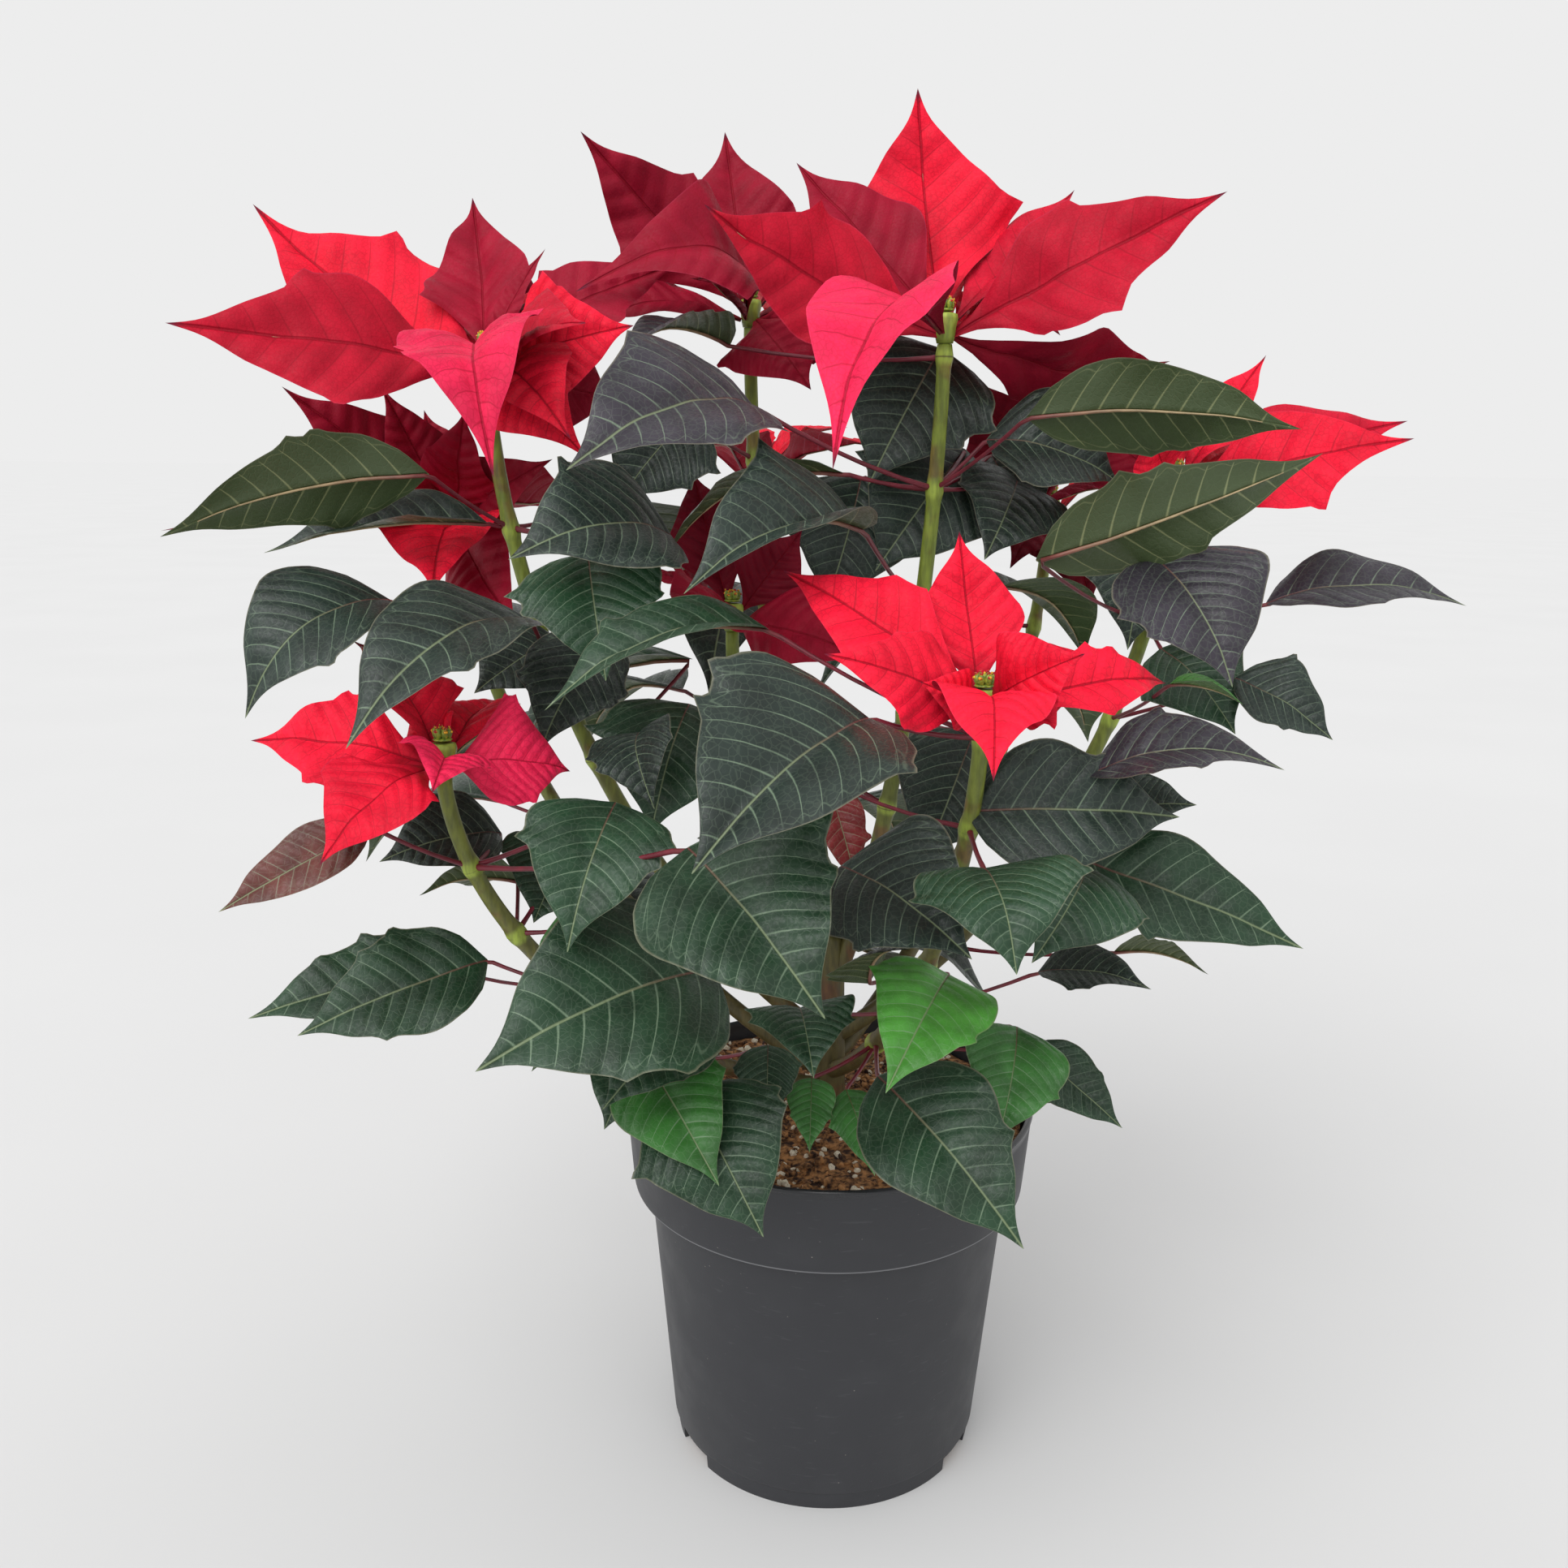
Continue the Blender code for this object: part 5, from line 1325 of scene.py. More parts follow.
@dataclass(frozen=True)
class BladeForm:
    """How a leaf or bract is shaped in full: its grid, thickness, puckers, waves and pointed tip."""

    rows: int = 34
    columns: int = 14
    thickness: float = 0.0005
    pairs: float = 10.0
    slope: float = 0.50
    curl: float = 0.85
    pucker: float = 0.00055
    ripple: float = 0.05
    heave: float = 0.0012
    teeth: int = 2
    tooth_reach: float = 0.05
    tip_start: float = 0.74
    tip_reach: float = 0.22
    tip_pinch: float = 0.46
    keel: float = 0.16
    stagger: float = 0.45
    least_share: float = 0.012
    droop: float = 0.05
    droop_start: float = 0.72
    rib_radius: float = 0.0010
    rib_start: float = 0.02
    rib_end: float = 0.86
    rib_points: int = 12

    def share(self, blade: Blade, along: float, bumps: Sequence[tuple[float, float]]) -> float:
        """The half width of one side as a share of the largest.

        Args:
            blade: the blade.
            along: the share of its length.
            bumps: where the margin's teeth are, and how large, for this side.

        Returns:
            The share.
        """
        spread = 0.09 * min(1.0, along / 0.12, (1.0 - along) / 0.10)
        taps = (-1.0, -0.5, 0.0, 0.5, 1.0)
        width = sum(blade.plain_share(min(1.0, max(0.0, along + tap * spread))) for tap in taps) / len(taps)
        tip = min(1.0, max(0.0, (along - self.tip_start) / self.tip_reach))
        width *= 1.0 - self.tip_pinch * tip * tip * (3.0 - 2.0 * tip)
        for middle, size in bumps:
            off = (along - middle) / self.tooth_reach
            width += size * math.exp(-off * off) * (1.0 - 0.9 * math.tanh(3.0 * off))
        return width

    def point(
        self, blade: Blade, along: float, across: float, lift: float, chance: Chance
    ) -> tuple[Vector, float]:
        """A point of the blade's surface.

        Args:
            blade: the blade.
            along: the share of its length.
            across: from -1 at the left margin to 1 at the right one.
            lift: how far the point lies off the middle surface.
            chance: this blade's own chance.

        Returns:
            The point, and the half width there in metres.
        """
        side, normal = blade.axes()
        length = blade.reach.length
        right = across > 0.0
        share = self.share(blade, along, chance.teeth[right])
        half = 0.5 * blade.width * MM * max(self.least_share, share) if along < 1.0 else 0.0
        fold = math.radians(blade.fold)
        off = abs(across)
        wave = blade.wave(along, across, half)
        turn = math.tau * chance.ripples * along + chance.phase[right]
        wave += self.ripple * half * math.sin(turn) * off**2.4
        keel = half * (math.sin(fold) * off + self.keel * off * (1.0 - off))
        slant = off * half / length
        later = self.stagger if right else 0.0
        beat = (along - slant * (self.slope + self.curl * slant)) * self.pairs + later
        quilt = abs(math.sin(math.pi * beat)) ** 0.7
        body = min(1.0, half / 0.010) * min(1.0, off * 5.0) * (1.0 - off**3)
        late = max(0.0, (along - self.droop_start) / (1.0 - self.droop_start))
        droop = -self.droop * length * late**2 * (1.0 - along) * 3.0
        place = Vector(blade.foot) * MM + blade.reach * along
        flat = place + side * (across * half * math.cos(fold))
        heave = self.heave * noise.noise(flat * 55.0 + Vector(chance.phase).to_3d()) * min(1.0, half / 0.012)
        rise = blade.arch(along) + keel + wave + droop + heave + self.pucker * quilt * body + lift
        return flat + normal * rise, half

    def grow(self, piece: Piece, blade: Blade, finish: int) -> None:
        """Adds the blade to a piece as a thin closed body.

        Args:
            piece: the piece.
            blade: the blade.
            finish: the number of the material.
        """
        chance = Chance.of(blade, self.teeth)
        # The blade's colour is its tone, with painted shade for the darker bract reds, times its own chance.
        colour = (*(part * chance.shade for part in linear(blade.tone.value)[:3]), 1.0)
        length = blade.reach.length
        made = []
        for facing in (1.0, -1.0):
            size = {"x_segments": self.columns, "y_segments": self.rows, "size": 1.0}
            grid = bmesh.ops.create_grid(piece.bm, **size)["verts"]
            faces = list({face for vertex in grid for face in vertex.link_faces})
            for vertex in grid:
                across = vertex.co.x
                along = 0.5 * (vertex.co.y + 1.0)
                inner = (1.0 - across**6) * min(1.0, along * 12.0) * min(1.0, (1.0 - along) * 12.0)
                point, half = self.point(blade, along, across, facing * 0.5 * self.thickness * inner, chance)
                vertex.co = point
                vertex[piece.share] = (across * half / length, along, half / length)
                vertex[piece.metres] = (across * half, along * length, len(blade.name) * 0.37)
                vertex[piece.colour] = colour
            if facing < 0.0:
                bmesh.ops.reverse_faces(piece.bm, faces=faces)
            for face in faces:
                face.material_index = finish
                face.smooth = True
                face[piece.under] = 0.0 if facing > 0.0 else 1.0
            made += grid
        bmesh.ops.remove_doubles(piece.bm, verts=made, dist=2e-6)
        for edge in {edge for vertex in made if vertex.is_valid for edge in vertex.link_edges}:
            edge.smooth = len({face[piece.under] for face in edge.link_faces}) == 1

    def rib(self, blade: Blade) -> tuple[list[Vector], list[float]]:
        """The raised midrib under the blade.

        Args:
            blade: the blade.

        Returns:
            The points of its middle line from the foot, and its radius at each.
        """
        points, radii = [], []
        chance = Chance.of(blade, self.teeth)
        size = min(1.0, 0.45 + 0.55 * blade.width / 60.0)
        last = self.rib_points - 1
        for index in range(self.rib_points):
            along = self.rib_start + (self.rib_end - self.rib_start) * index / last
            radius = size * self.rib_radius * (1.0 - 0.80 * index / last)
            points.append(self.point(blade, along, 0.0, -0.9 * radius, chance)[0])
            radii.append(radius)
        return points, radii


@dataclass(frozen=True)
class LeafyStem:
    """A stem with its leaf stalks and leaves."""

    stem: Stem
    leaves: tuple[Blade, ...]
    form: BladeForm = BladeForm()
    sides: int = 12
    steps: int = 84
    swelling: float = 0.30
    joint_reach: float = 0.0034
    stalk_radius: float = 0.0011

    def nodes(self) -> list[Vector]:
        """Where the leaf stalks leave the stem."""
        return [self.stem.node_for(Vector(leaf.foot) * MM) for leaf in self.leaves]

    def build(self, finishes: Sequence[bpy.types.Material]) -> bpy.types.Object:
        """Builds the stem, with a swelling at each stalk, then each stalk, midrib and leaf.

        Args:
            finishes: the materials of stem, stalk and leaf.

        Returns:
            The piece.
        """
        name = self.stem.head.name
        piece = Piece("stem_with_leaves_" + name, finishes)
        line = self.stem.curve(self.steps)
        joints = self.nodes()
        radii, joint_shares = [], []
        for index, point in enumerate(line):
            share = index / (self.steps - 1)
            radius = self.stem.base_radius + (self.stem.top_radius - self.stem.base_radius) * share
            offs = ((point - joint).length / self.joint_reach for joint in joints)
            near = max((math.exp(-(off**2)) for off in offs), default=0.0)
            radii.append(radius * (0.94 + self.swelling * near))
            joint_shares.append(near)
        piece.tube(line, radii, self.sides, 0, joint_shares)
        for leaf, joint in zip(self.leaves, joints):
            self.stalk(piece, leaf, joint)
            self.form.grow(piece, leaf, 2)
        return piece.finished(["leafy_" + name])

    def stalk(self, piece: Piece, leaf: Blade, joint: Vector) -> None:
        """Adds a leaf's stalk and midrib as one tapering tube.

        Args:
            piece: the piece.
            leaf: the leaf.
            joint: where the stalk leaves the stem.
        """
        foot = Vector(leaf.foot) * MM
        ribs, rib_radii = self.form.rib(leaf)
        reach = foot - joint
        sag = Vector((0.0, 0.0, -0.035 * Vector((reach.x, reach.y, 0.0)).length))
        shares = (0.0, 0.06, 0.2, 0.4, 0.6, 0.8, 0.94)
        stalk = [joint + reach * share + sag * 4.0 * share * (1.0 - share) for share in shares]
        widths = [1.75, 1.25, 1.0, 0.92, 0.90, 0.92, 1.0]
        base = max(rib_radii[0], 0.8 * self.stalk_radius)
        points = stalk + ribs
        radii = [base * width for width in widths] + rib_radii
        whole = len(points) - 1
        piece.tube(points, radii, 8, 1, [index / whole for index in range(len(points))])


@dataclass(frozen=True)
class BractHead:
    """A head: the hub on top of a stem, and its bracts."""

    head: Head
    bracts: tuple[Blade, ...]
    hub: Hub = Hub()
    form: BladeForm = BladeForm(
        pairs=9.0, slope=0.62, curl=0.9, pucker=0.0013, ripple=0.11, heave=0.0034, rib_radius=0.0008
    )

    def build(self, finishes: Sequence[bpy.types.Material]) -> bpy.types.Object:
        """Builds the hub and the bracts.

        Args:
            finishes: the materials of hub, midrib and bract.

        Returns:
            The piece.
        """
        piece = Piece("bracts_" + self.head.name, finishes)
        middle = Vector(self.head.centre) * MM
        half = 0.5 * self.hub.height
        levels = (-1.0, -0.6, 0.0, 0.6, 0.9, 1.0)
        widths = (1.0, 1.05, 1.0, 1.02, 0.9, 0.6)
        points = [middle + Vector((0.0, 0.0, half * level)) for level in levels]
        radii = [self.hub.radius_at(half * level) * width for level, width in zip(levels, widths)]
        piece.tube(points, radii, 14, 0)
        for blade in self.bracts:
            ribs, rib_radii = self.form.rib(blade)
            piece.tube(ribs, rib_radii, 8, 1)
            self.form.grow(piece, blade, 2)
        return piece.finished(["head_" + self.head.name])


@dataclass(frozen=True)
class FlowerCups:
    """The small flower cups in the middle of a head, each with a nectar gland and a tuft of stamens."""

    head: Head
    hub: Hub = Hub()
    cups: int = 7
    ring_radius: float = 0.0028
    cup_radius: float = 0.0013
    cup_height: float = 0.0046
    cushion_size: Triple = (0.0036, 0.0036, 0.0008)
    gland_place: Triple = (0.0009, 0.0, -0.0011)
    gland_size: Triple = (0.0007, 0.0009, 0.0006)
    stamens: int = 4
    stamen_size: Triple = (0.00028, 0.00028, 0.0007)

    def build(self, finishes: Sequence[bpy.types.Material]) -> bpy.types.Object:
        """Builds a middle cup with a ring of leaning ones round it.

        Args:
            finishes: the materials of cup, and of gland and stamens.

        Returns:
            The piece.
        """
        piece = Piece("flower_cups_" + self.head.name, finishes)
        seed = random.Random(self.head.name)
        base = Vector(self.head.centre) * MM + Vector((0.0, 0.0, 0.5 * self.hub.height + self.hub.seat_gap))
        cushion = Matrix.Translation(base + Vector((0.0, 0.0, self.cushion_size[2])))
        piece.lump(cushion, Vector(self.cushion_size), 14, 6, 0)
        for index in range(self.cups):
            out = 0.0 if index == 0 else self.ring_radius * seed.uniform(0.9, 1.08)
            angle = index * math.tau / (self.cups - 1) + seed.uniform(-0.15, 0.15)
            height = self.cup_height * seed.uniform(0.82, 1.0)
            turn = Matrix.Rotation(angle, 4, "Z")
            lean = Matrix.Rotation(math.radians(0.0 if index == 0 else 9.0), 4, "Y")
            place = Matrix.Translation(base + Vector((0.0, 0.0, 0.0009))) @ turn
            place = place @ Matrix.Translation((out * 0.72, 0.0, 0.0)) @ lean
            body = place @ Matrix.Translation((0.0, 0.0, 0.5 * height))
            piece.lump(body, Vector((self.cup_radius, self.cup_radius, 0.52 * height)), 10, 7, 0)
            self.crown(piece, place @ Matrix.Translation((0.0, 0.0, height)), seed)
        return piece.finished(["cyathia_" + self.head.name])

    def crown(self, piece: Piece, place: Matrix, seed: random.Random) -> None:
        """Adds one cup's gland at its side and the stamens on top.

        Args:
            piece: the piece.
            place: the middle of the cup's mouth, and how it is turned.
            seed: this head's own chance.
        """
        gland = place @ Matrix.Translation(self.gland_place)
        piece.lump(gland, Vector(self.gland_size), 7, 5, 1)
        for _ in range(self.stamens):
            aside = Matrix.Translation((seed.uniform(-0.0006, 0.0006), seed.uniform(-0.0006, 0.0006), 0.0001))
            piece.lump(place @ aside, Vector(self.stamen_size), 5, 4, 1)


@dataclass(frozen=True)
class Trunk:
    """The short trunk out of the soil, up to the dry stub where its tip was pinched out."""

    radius: float = 0.0078
    foot: float = 0.1180
    top: float = 0.2480
    steps: int = 28
    bark_depth: float = 0.00025
    bark_scale: float = 260.0

    def build(self, finishes: Sequence[bpy.types.Material]) -> bpy.types.Object:
        """Builds the trunk with an uneven bark.

        Args:
            finishes: the bark's material.

        Returns:
            The piece.
        """
        piece = Piece("trunk_bark", finishes)
        outer = (
            (0.0, self.top - 0.0006),
            (0.0030, self.top - 0.0002),
            (0.0044, self.top - 0.0006),
            (0.0054, self.top - 0.0030),
            (0.0059, self.top - 0.0100),
            (0.0062, self.top - 0.0200),
            (0.0067, self.foot + 0.0850),
            (self.radius - 0.0004, self.foot + 0.0600),
            (self.radius - 0.0002, self.foot + 0.0500),
            (self.radius - 0.0004, self.foot + 0.0350),
            (self.radius - 0.0010, self.foot),
            (0.0, self.foot),
        )
        for vertex in piece.turned(outer, self.steps):
            around = Vector((vertex.co.x, vertex.co.y, 0.25 * vertex.co.z)) * self.bark_scale
            bark = self.bark_depth * noise.noise(around)
            radius = math.hypot(vertex.co.x, vertex.co.y)
            if radius > 0.001:
                vertex.co.x *= 1.0 + bark / radius
                vertex.co.y *= 1.0 + bark / radius
        return piece.finished(["trunk"])


@dataclass(frozen=True)
class NurseryPot:
    """The nursery pot: rolled rim, wide collar, tapered body and a foot ring with three notches."""

    rim_radius: float = 0.095
    rim_height: float = 0.170
    lip: float = 0.0028
    collar_foot_height: float = 0.130
    collar_foot_radius: float = 0.0912
    body_top_radius: float = 0.0838
    foot_radius: float = 0.0718
    foot_height: float = 0.0090
    foot_step: float = 0.0012
    floor_height: float = 0.0060
    wall: float = 0.0020
    steps: int = 144
    notches: int = 3
    notch_size: Triple = (0.030, 0.024, 0.0132)
    notch_facing: float = math.radians(-30.0)
    drain_holes: int = 4
    drain_radius: float = 0.0055
    drain_ring: float = 0.046
    edge_width: float = 0.0004

    def body_radius(self, height: float) -> float:
        """The outer radius of the tapered body.

        Args:
            height: the height above the ground.

        Returns:
            The radius there.
        """
        low = self.foot_radius + self.foot_step
        tall = self.collar_foot_height - self.foot_height
        return low + (self.body_top_radius - low) * (height - self.foot_height) / tall

    def profile(self) -> list[tuple[float, float]]:
        """The pot's section: rim, collar, body and foot down the outside, then floor and inside up again.

        Returns:
            The points as (radius, height), ending where they start.
        """
        roll = 0.5 * self.lip
        middle = (self.rim_radius - roll, self.rim_height - roll)
        arc = [math.radians(angle) for angle in (90, 60, 30, 0, -30, -60)]
        rim = [(middle[0] + roll * math.cos(angle), middle[1] + roll * math.sin(angle)) for angle in arc]
        low, edge = self.collar_foot_height, self.collar_foot_radius
        inside = self.body_radius(self.floor_height) - self.wall
        outer = [
            (self.rim_radius - 0.0010, self.rim_height - 0.0032),
            (self.rim_radius - 0.0009, self.rim_height - 0.0060),
            (edge + 0.0006, low + 0.0060),
            (edge + 0.0002, low + 0.0016),
            (edge, low + 0.0007),
            (edge - 0.0004, low + 0.0002),
            (edge - 0.0010, low),
            (self.body_top_radius + 0.0010, low - 0.0007),
            (self.body_top_radius + 0.0002, low - 0.0011),
            (self.body_top_radius - 0.0001, low - 0.0024),
            (self.body_radius(0.070), 0.070),
            (self.body_radius(self.foot_height) + 0.0001, self.foot_height + 0.0010),
            (self.body_radius(self.foot_height) - 0.0002, self.foot_height + 0.0001),
            (self.foot_radius + 0.0001, self.foot_height - 0.0006),
            (self.foot_radius - 0.0001, self.foot_height - 0.0014),
            (self.foot_radius - 0.0007, 0.0006),
            (self.foot_radius - 0.0010, 0.0),
            (self.foot_radius - 0.0032, 0.0),
            (self.foot_radius - 0.0040, self.floor_height - self.wall),
            (0.0, self.floor_height - self.wall),
            (0.0, self.floor_height),
            (inside, self.floor_height),
            (self.body_top_radius - self.wall, low + 0.0006),
            (self.collar_foot_radius - self.wall - 0.0006, low + 0.0014),
            (self.collar_foot_radius - self.wall, low + 0.0024),
            (self.rim_radius - self.wall - 0.0012, self.rim_height - 0.0060),
            (self.rim_radius - self.lip - 0.0002, self.rim_height - 0.0026),
            (self.rim_radius - self.lip + 0.0001, self.rim_height - 0.0010),
            rim[0],
        ]
        return rim + outer

    def cutters(self) -> list[bpy.types.Object]:
        """Makes what cuts the notches and the drain holes.

        Returns:
            One object with the blocks and one with the rods.
        """
        made = []
        notches = bmesh.new()
        block = Matrix.Translation((self.foot_radius, 0.0, 0.0)) @ Matrix.Diagonal((*self.notch_size, 1.0))
        for index in range(self.notches):
            turn = Matrix.Rotation(self.notch_facing + index * math.tau / self.notches, 4, "Z")
            bmesh.ops.create_cube(notches, size=1.0, matrix=turn @ block)
        holes = bmesh.new()
        for index in range(self.drain_holes):
            turn = Matrix.Rotation((index + 0.5) * math.tau / self.drain_holes, 4, "Z")
            place = turn @ Matrix.Translation((self.drain_ring, 0.0, self.floor_height))
            bmesh.ops.create_cone(
                holes,
                cap_ends=True,
                segments=32,
                radius1=self.drain_radius,
                radius2=self.drain_radius,
                depth=4 * self.wall,
                matrix=place,
            )
        for name, bm in (("notch cutter", notches), ("drain cutter", holes)):
            mesh = bpy.data.meshes.new(name)
            bm.to_mesh(mesh)
            bm.free()
            made.append(bpy.data.objects.new(name, mesh))
            bpy.context.scene.collection.objects.link(made[-1])
        return made

    def build(self, finishes: Sequence[bpy.types.Material]) -> bpy.types.Object:
        """Builds the pot, then cuts its notches and drain holes.

        Args:
            finishes: the plastic's material.

        Returns:
            The piece.
        """
        piece = Piece("nursery_pot", finishes)
        piece.turned(self.profile(), self.steps)
        pot = piece.finished(["pot"])
        cutters = self.cutters()
        for cutter in cutters:
            cut = pot.modifiers.new(cutter.name, "BOOLEAN")
            cut.operation = "DIFFERENCE"
            cut.object = cutter
        edge = pot.modifiers.new("moulded edges", "BEVEL")
        edge.width = self.edge_width
        edge.segments = 2
        edge.angle_limit = math.radians(50.0)
        whole = bpy.data.meshes.new_from_object(pot.evaluated_get(bpy.context.evaluated_depsgraph_get()))
        pot.modifiers.clear()
        pot.data = whole
        for cutter in cutters:
            bpy.data.objects.remove(cutter)
        pot.data.set_sharp_from_angle(angle=math.radians(40.0))
        return pot


@dataclass(frozen=True)
class PottingSoil:
    """The soil that fills the pot, with crumbs, perlite and coir fibres on top."""

    edge_height: float = 0.1610
    edge_radius: float = 0.0894
    mound: float = 0.0030
    floor: float = 0.0063
    collar_foot: float = 0.1320
    body_top_radius: float = 0.0812
    floor_radius: float = 0.0707
    rings: int = 34
    steps: int = 120
    crumbs: int = 900
    crumb_sizes: tuple[float, float] = (0.0011, 0.0032)
    grains: int = 420
    grain_sizes: tuple[float, float] = (0.0010, 0.0028)
    fibres: int = 260
    fibre_points: int = 6
    fibre_radius: float = 0.00022
    trunk_clearance: float = 0.012

    def height(self, x: float, y: float) -> float:
        """The height of the soil's uneven surface.

        Args:
            x: how far to the right the place is.
            y: how far to the back it is.

        Returns:
            The height there.
        """
        radius = math.hypot(x, y)
        mound = self.mound * (1.0 - (radius / self.edge_radius) ** 2)
        place = Vector((x, y, 0.3))
        uneven = 0.0016 * noise.noise(place * 70.0)
        return self.edge_height + mound + uneven + 0.0008 * noise.noise(place * 210.0)

    def build(self, finishes: Sequence[bpy.types.Material]) -> list[bpy.types.Object]:
        """Builds the soil and what lies on it.

        Args:
            finishes: the materials of peat and of perlite.

        Returns:
            The pieces.
        """
        peat, perlite = finishes
        piece = Piece("potting_soil", [peat])
        top = [(self.edge_radius * index / self.rings, self.edge_height) for index in range(self.rings + 1)]
        side = [
            (self.edge_radius - 0.0004, self.collar_foot + 0.0022),
            (self.body_top_radius, self.collar_foot),
            (self.floor_radius, self.floor),
            (0.0, self.floor),
        ]
        for vertex in piece.turned(top + side, self.steps):
            if vertex.co.z > self.edge_height - 1e-5:
                vertex.co.z = self.height(vertex.co.x, vertex.co.y)
        soil = piece.finished(["soil"])
        crumbs = self.scatter("peat_crumbs", peat, self.crumbs, self.crumb_sizes, 11)
        grains = self.scatter("perlite_grains", perlite, self.grains, self.grain_sizes, 12)
        return [soil, crumbs, grains, self.strands(peat)]

    def spot(self, seed: random.Random, margin: float) -> Vector:
        """A place on the soil's surface, clear of the trunk and of the pot's wall.

        Args:
            seed: the piece's own chance.
            margin: how far it keeps from the wall.

        Returns:
            The place.
        """
        radius = math.sqrt(seed.uniform(self.trunk_clearance**2, (self.edge_radius - margin) ** 2))
        angle = seed.uniform(0.0, math.tau)
        x, y = radius * math.cos(angle), radius * math.sin(angle)
        return Vector((x, y, self.height(x, y)))

    def scatter(
        self, name: str, finish: bpy.types.Material, count: int, sizes: tuple[float, float], start: int
    ) -> bpy.types.Object:
        """Strews small uneven lumps over the soil.

        Args:
            name: the piece's name.
            finish: its material.
            count: how many lumps.
            sizes: the least and the largest half size.
            start: the seed.

        Returns:
            The piece.
        """
        piece = Piece(name, [finish])
        seed = random.Random(start)
        small, large = sizes
        for _ in range(count):
            size = small + (large - small) * seed.random() ** 2
            spin = Matrix.Rotation(seed.uniform(0, math.tau), 4, Vector((seed.random(), seed.random(), 1.0)))
            wide, tall = size * seed.uniform(0.6, 1.0), size * seed.uniform(0.45, 0.8)
            place = Matrix.Translation(self.spot(seed, 0.003) + Vector((0.0, 0.0, 0.2 * size)))
            whole = place @ spin @ Matrix.Diagonal((size, wide, tall, 1.0))
            made = bmesh.ops.create_icosphere(piece.bm, subdivisions=1, radius=1.0, matrix=whole)
            for vertex in made["verts"]:
                dent = Vector((seed.uniform(-1, 1), seed.uniform(-1, 1), seed.uniform(-1, 1)))
                vertex.co += dent * 0.16 * size
        return piece.finished([])

    def strands(self, finish: bpy.types.Material) -> bpy.types.Object:
        """Lays short bent coir fibres over the soil.

        Args:
            finish: their material.

        Returns:
            The piece.
        """
        piece = Piece("coir_fibres", [finish])
        seed = random.Random(13)
        for _ in range(self.fibres):
            start = self.spot(seed, 0.014)
            heading = seed.uniform(0.0, math.tau)
            bend = seed.uniform(-0.5, 0.5)
            step = seed.uniform(0.0012, 0.0026)
            points = []
            place = start.copy()
            for _ in range(self.fibre_points):
                height = self.height(place.x, place.y) + seed.uniform(0.0004, 0.0016)
                points.append(Vector((place.x, place.y, height)))
                place += Vector((math.cos(heading), math.sin(heading), 0.0)) * step
                heading += bend
            piece.tube(points, [self.fibre_radius] * self.fibre_points, 4, 0)
        return piece.finished([])


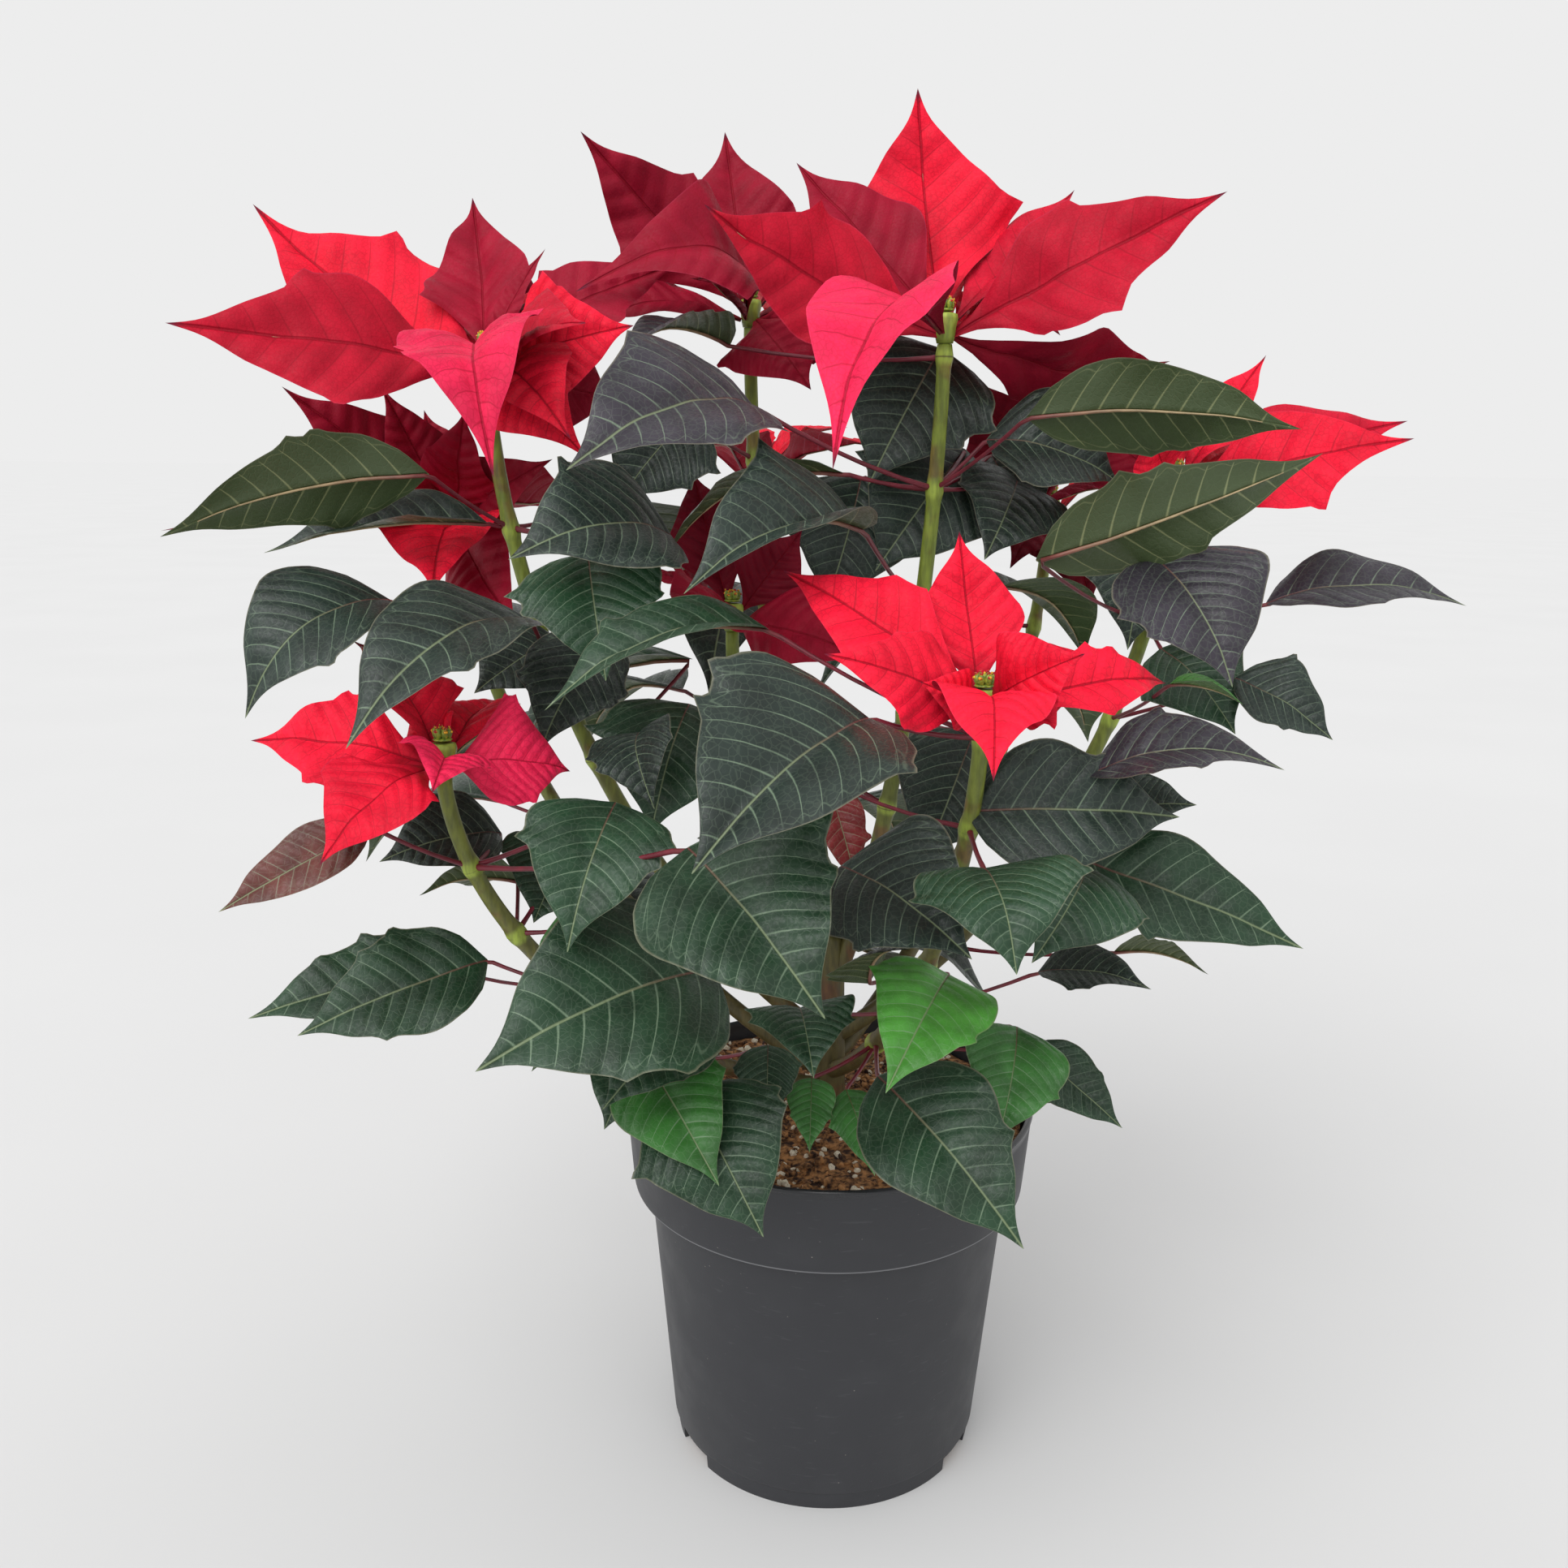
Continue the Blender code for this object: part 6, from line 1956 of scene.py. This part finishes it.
@dataclass(frozen=True)
class Studio:
    """A plain pale floor, one soft light, an even sky and the camera."""

    eye: Triple = (-0.0227, -0.6185, 0.4618)
    pitch: float = 90.0 - 13.13
    roll: float = 0.64
    lens: float = 32.609
    sensor: float = 36.0
    floor_size: float = 40.0
    sky: str = "#EDEDED"
    key_place: Triple = (-0.5, -0.9, 0.95)
    key_spread: float = 52.0
    key_strength: float = 1.9

    def build(self, finish: bpy.types.Material) -> None:
        """Builds the floor, the light, the sky and the camera.

        Args:
            finish: the floor's material.
        """
        bm = bmesh.new()
        bmesh.ops.create_grid(bm, x_segments=2, y_segments=2, size=self.floor_size)
        mesh = bpy.data.meshes.new("studio_floor")
        bm.to_mesh(mesh)
        bm.free()
        mesh.materials.append(finish)
        floor = bpy.data.objects.new("studio_floor", mesh)
        bpy.context.scene.collection.objects.link(floor)
        self.light("key", self.key_place, self.key_spread, self.key_strength)
        world = bpy.data.worlds.new("studio")
        bpy.context.scene.world = world
        world.use_nodes = True
        background = world.node_tree.nodes["Background"]
        background.inputs["Color"].default_value = linear(self.sky)
        background.inputs["Strength"].default_value = 1.0
        camera = bpy.data.cameras.new("camera")
        camera.lens = self.lens
        camera.sensor_width = self.sensor
        camera.clip_start = 0.01
        viewer = bpy.data.objects.new("camera", camera)
        viewer.location = self.eye
        pitch = Matrix.Rotation(math.radians(self.pitch), 3, "X")
        roll = Matrix.Rotation(math.radians(self.roll), 3, "Z")
        viewer.rotation_euler = (pitch @ roll).to_euler()
        bpy.context.scene.collection.objects.link(viewer)
        bpy.context.scene.camera = viewer
        bpy.context.scene.view_settings.view_transform = "Standard"

    @staticmethod
    def light(name: str, place: Triple, spread: float, strength: float) -> None:
        """Adds a soft light from far off, even over the whole floor.

        Args:
            name: its name.
            place: the direction that it comes from.
            spread: how wide it looks from the plant, in degrees.
            strength: its strength in watts a square metre.
        """
        lamp = bpy.data.lights.new(name, "SUN")
        lamp.angle = math.radians(spread)
        lamp.energy = strength
        holder = bpy.data.objects.new(name, lamp)
        holder.location = place
        holder.rotation_euler = (-Vector(place)).to_track_quat("-Z", "Y").to_euler()
        bpy.context.scene.collection.objects.link(holder)


class Poinsettia:
    """The whole plant: what the solids hold, sorted by stem, and the pieces that stand for it."""

    def __init__(self) -> None:
        """Looks up every bract and leaf in the solids."""
        finder = SolidFinder()
        hub = Hub()
        self.stems = {head.name: Stem(head) for head in HEADS}
        self.bracts: dict[str, list[Blade]] = {}
        for head in HEADS:
            plain = [hub.rooted(blade, head, index) for index, blade in enumerate(head.bracts)]
            found = [finder.find(blade, ["head_" + head.name]) for blade in plain]
            self.bracts[head.name] = [item[1] for item in found if item]
        self.leaves: dict[str, list[Blade]] = {head.name: [] for head in HEADS}
        for leaf in (*LEAVES, *FarSide().leaves(self.stems)):
            held = finder.find(leaf, ["leafy_" + head.name for head in HEADS])
            if held:
                self.leaves[held[0].removeprefix("leafy_")].append(held[1])
            else:
                LOG.info("%s has no room in the solids", leaf.name)

    def build(self) -> None:
        """Builds every stem with its leaves, every head and its flower cups, and the trunk."""
        bark, stalk, leaf = StemSkin().material(), StalkSkin().material(), LeafSkin().material()
        red, cup, gland = BractSkin().material(), CupSkin().material(), GlandSkin().material()
        for head in HEADS:
            LeafyStem(self.stems[head.name], tuple(self.leaves[head.name])).build([bark, stalk, leaf])
            BractHead(head, tuple(self.bracts[head.name])).build([bark, stalk, red])
            FlowerCups(head).build([cup, gland])
        Trunk().build([bark])


def main() -> None:
    """Builds every piece in order."""
    logging.basicConfig(level=logging.INFO, format="%(message)s")
    Poinsettia().build()
    NurseryPot().build([PotPlastic().material()])
    PottingSoil().build([Peat().material(), Perlite().material()])
    Studio().build(PaleFloor().material())


if __name__ == "__main__":
    main()
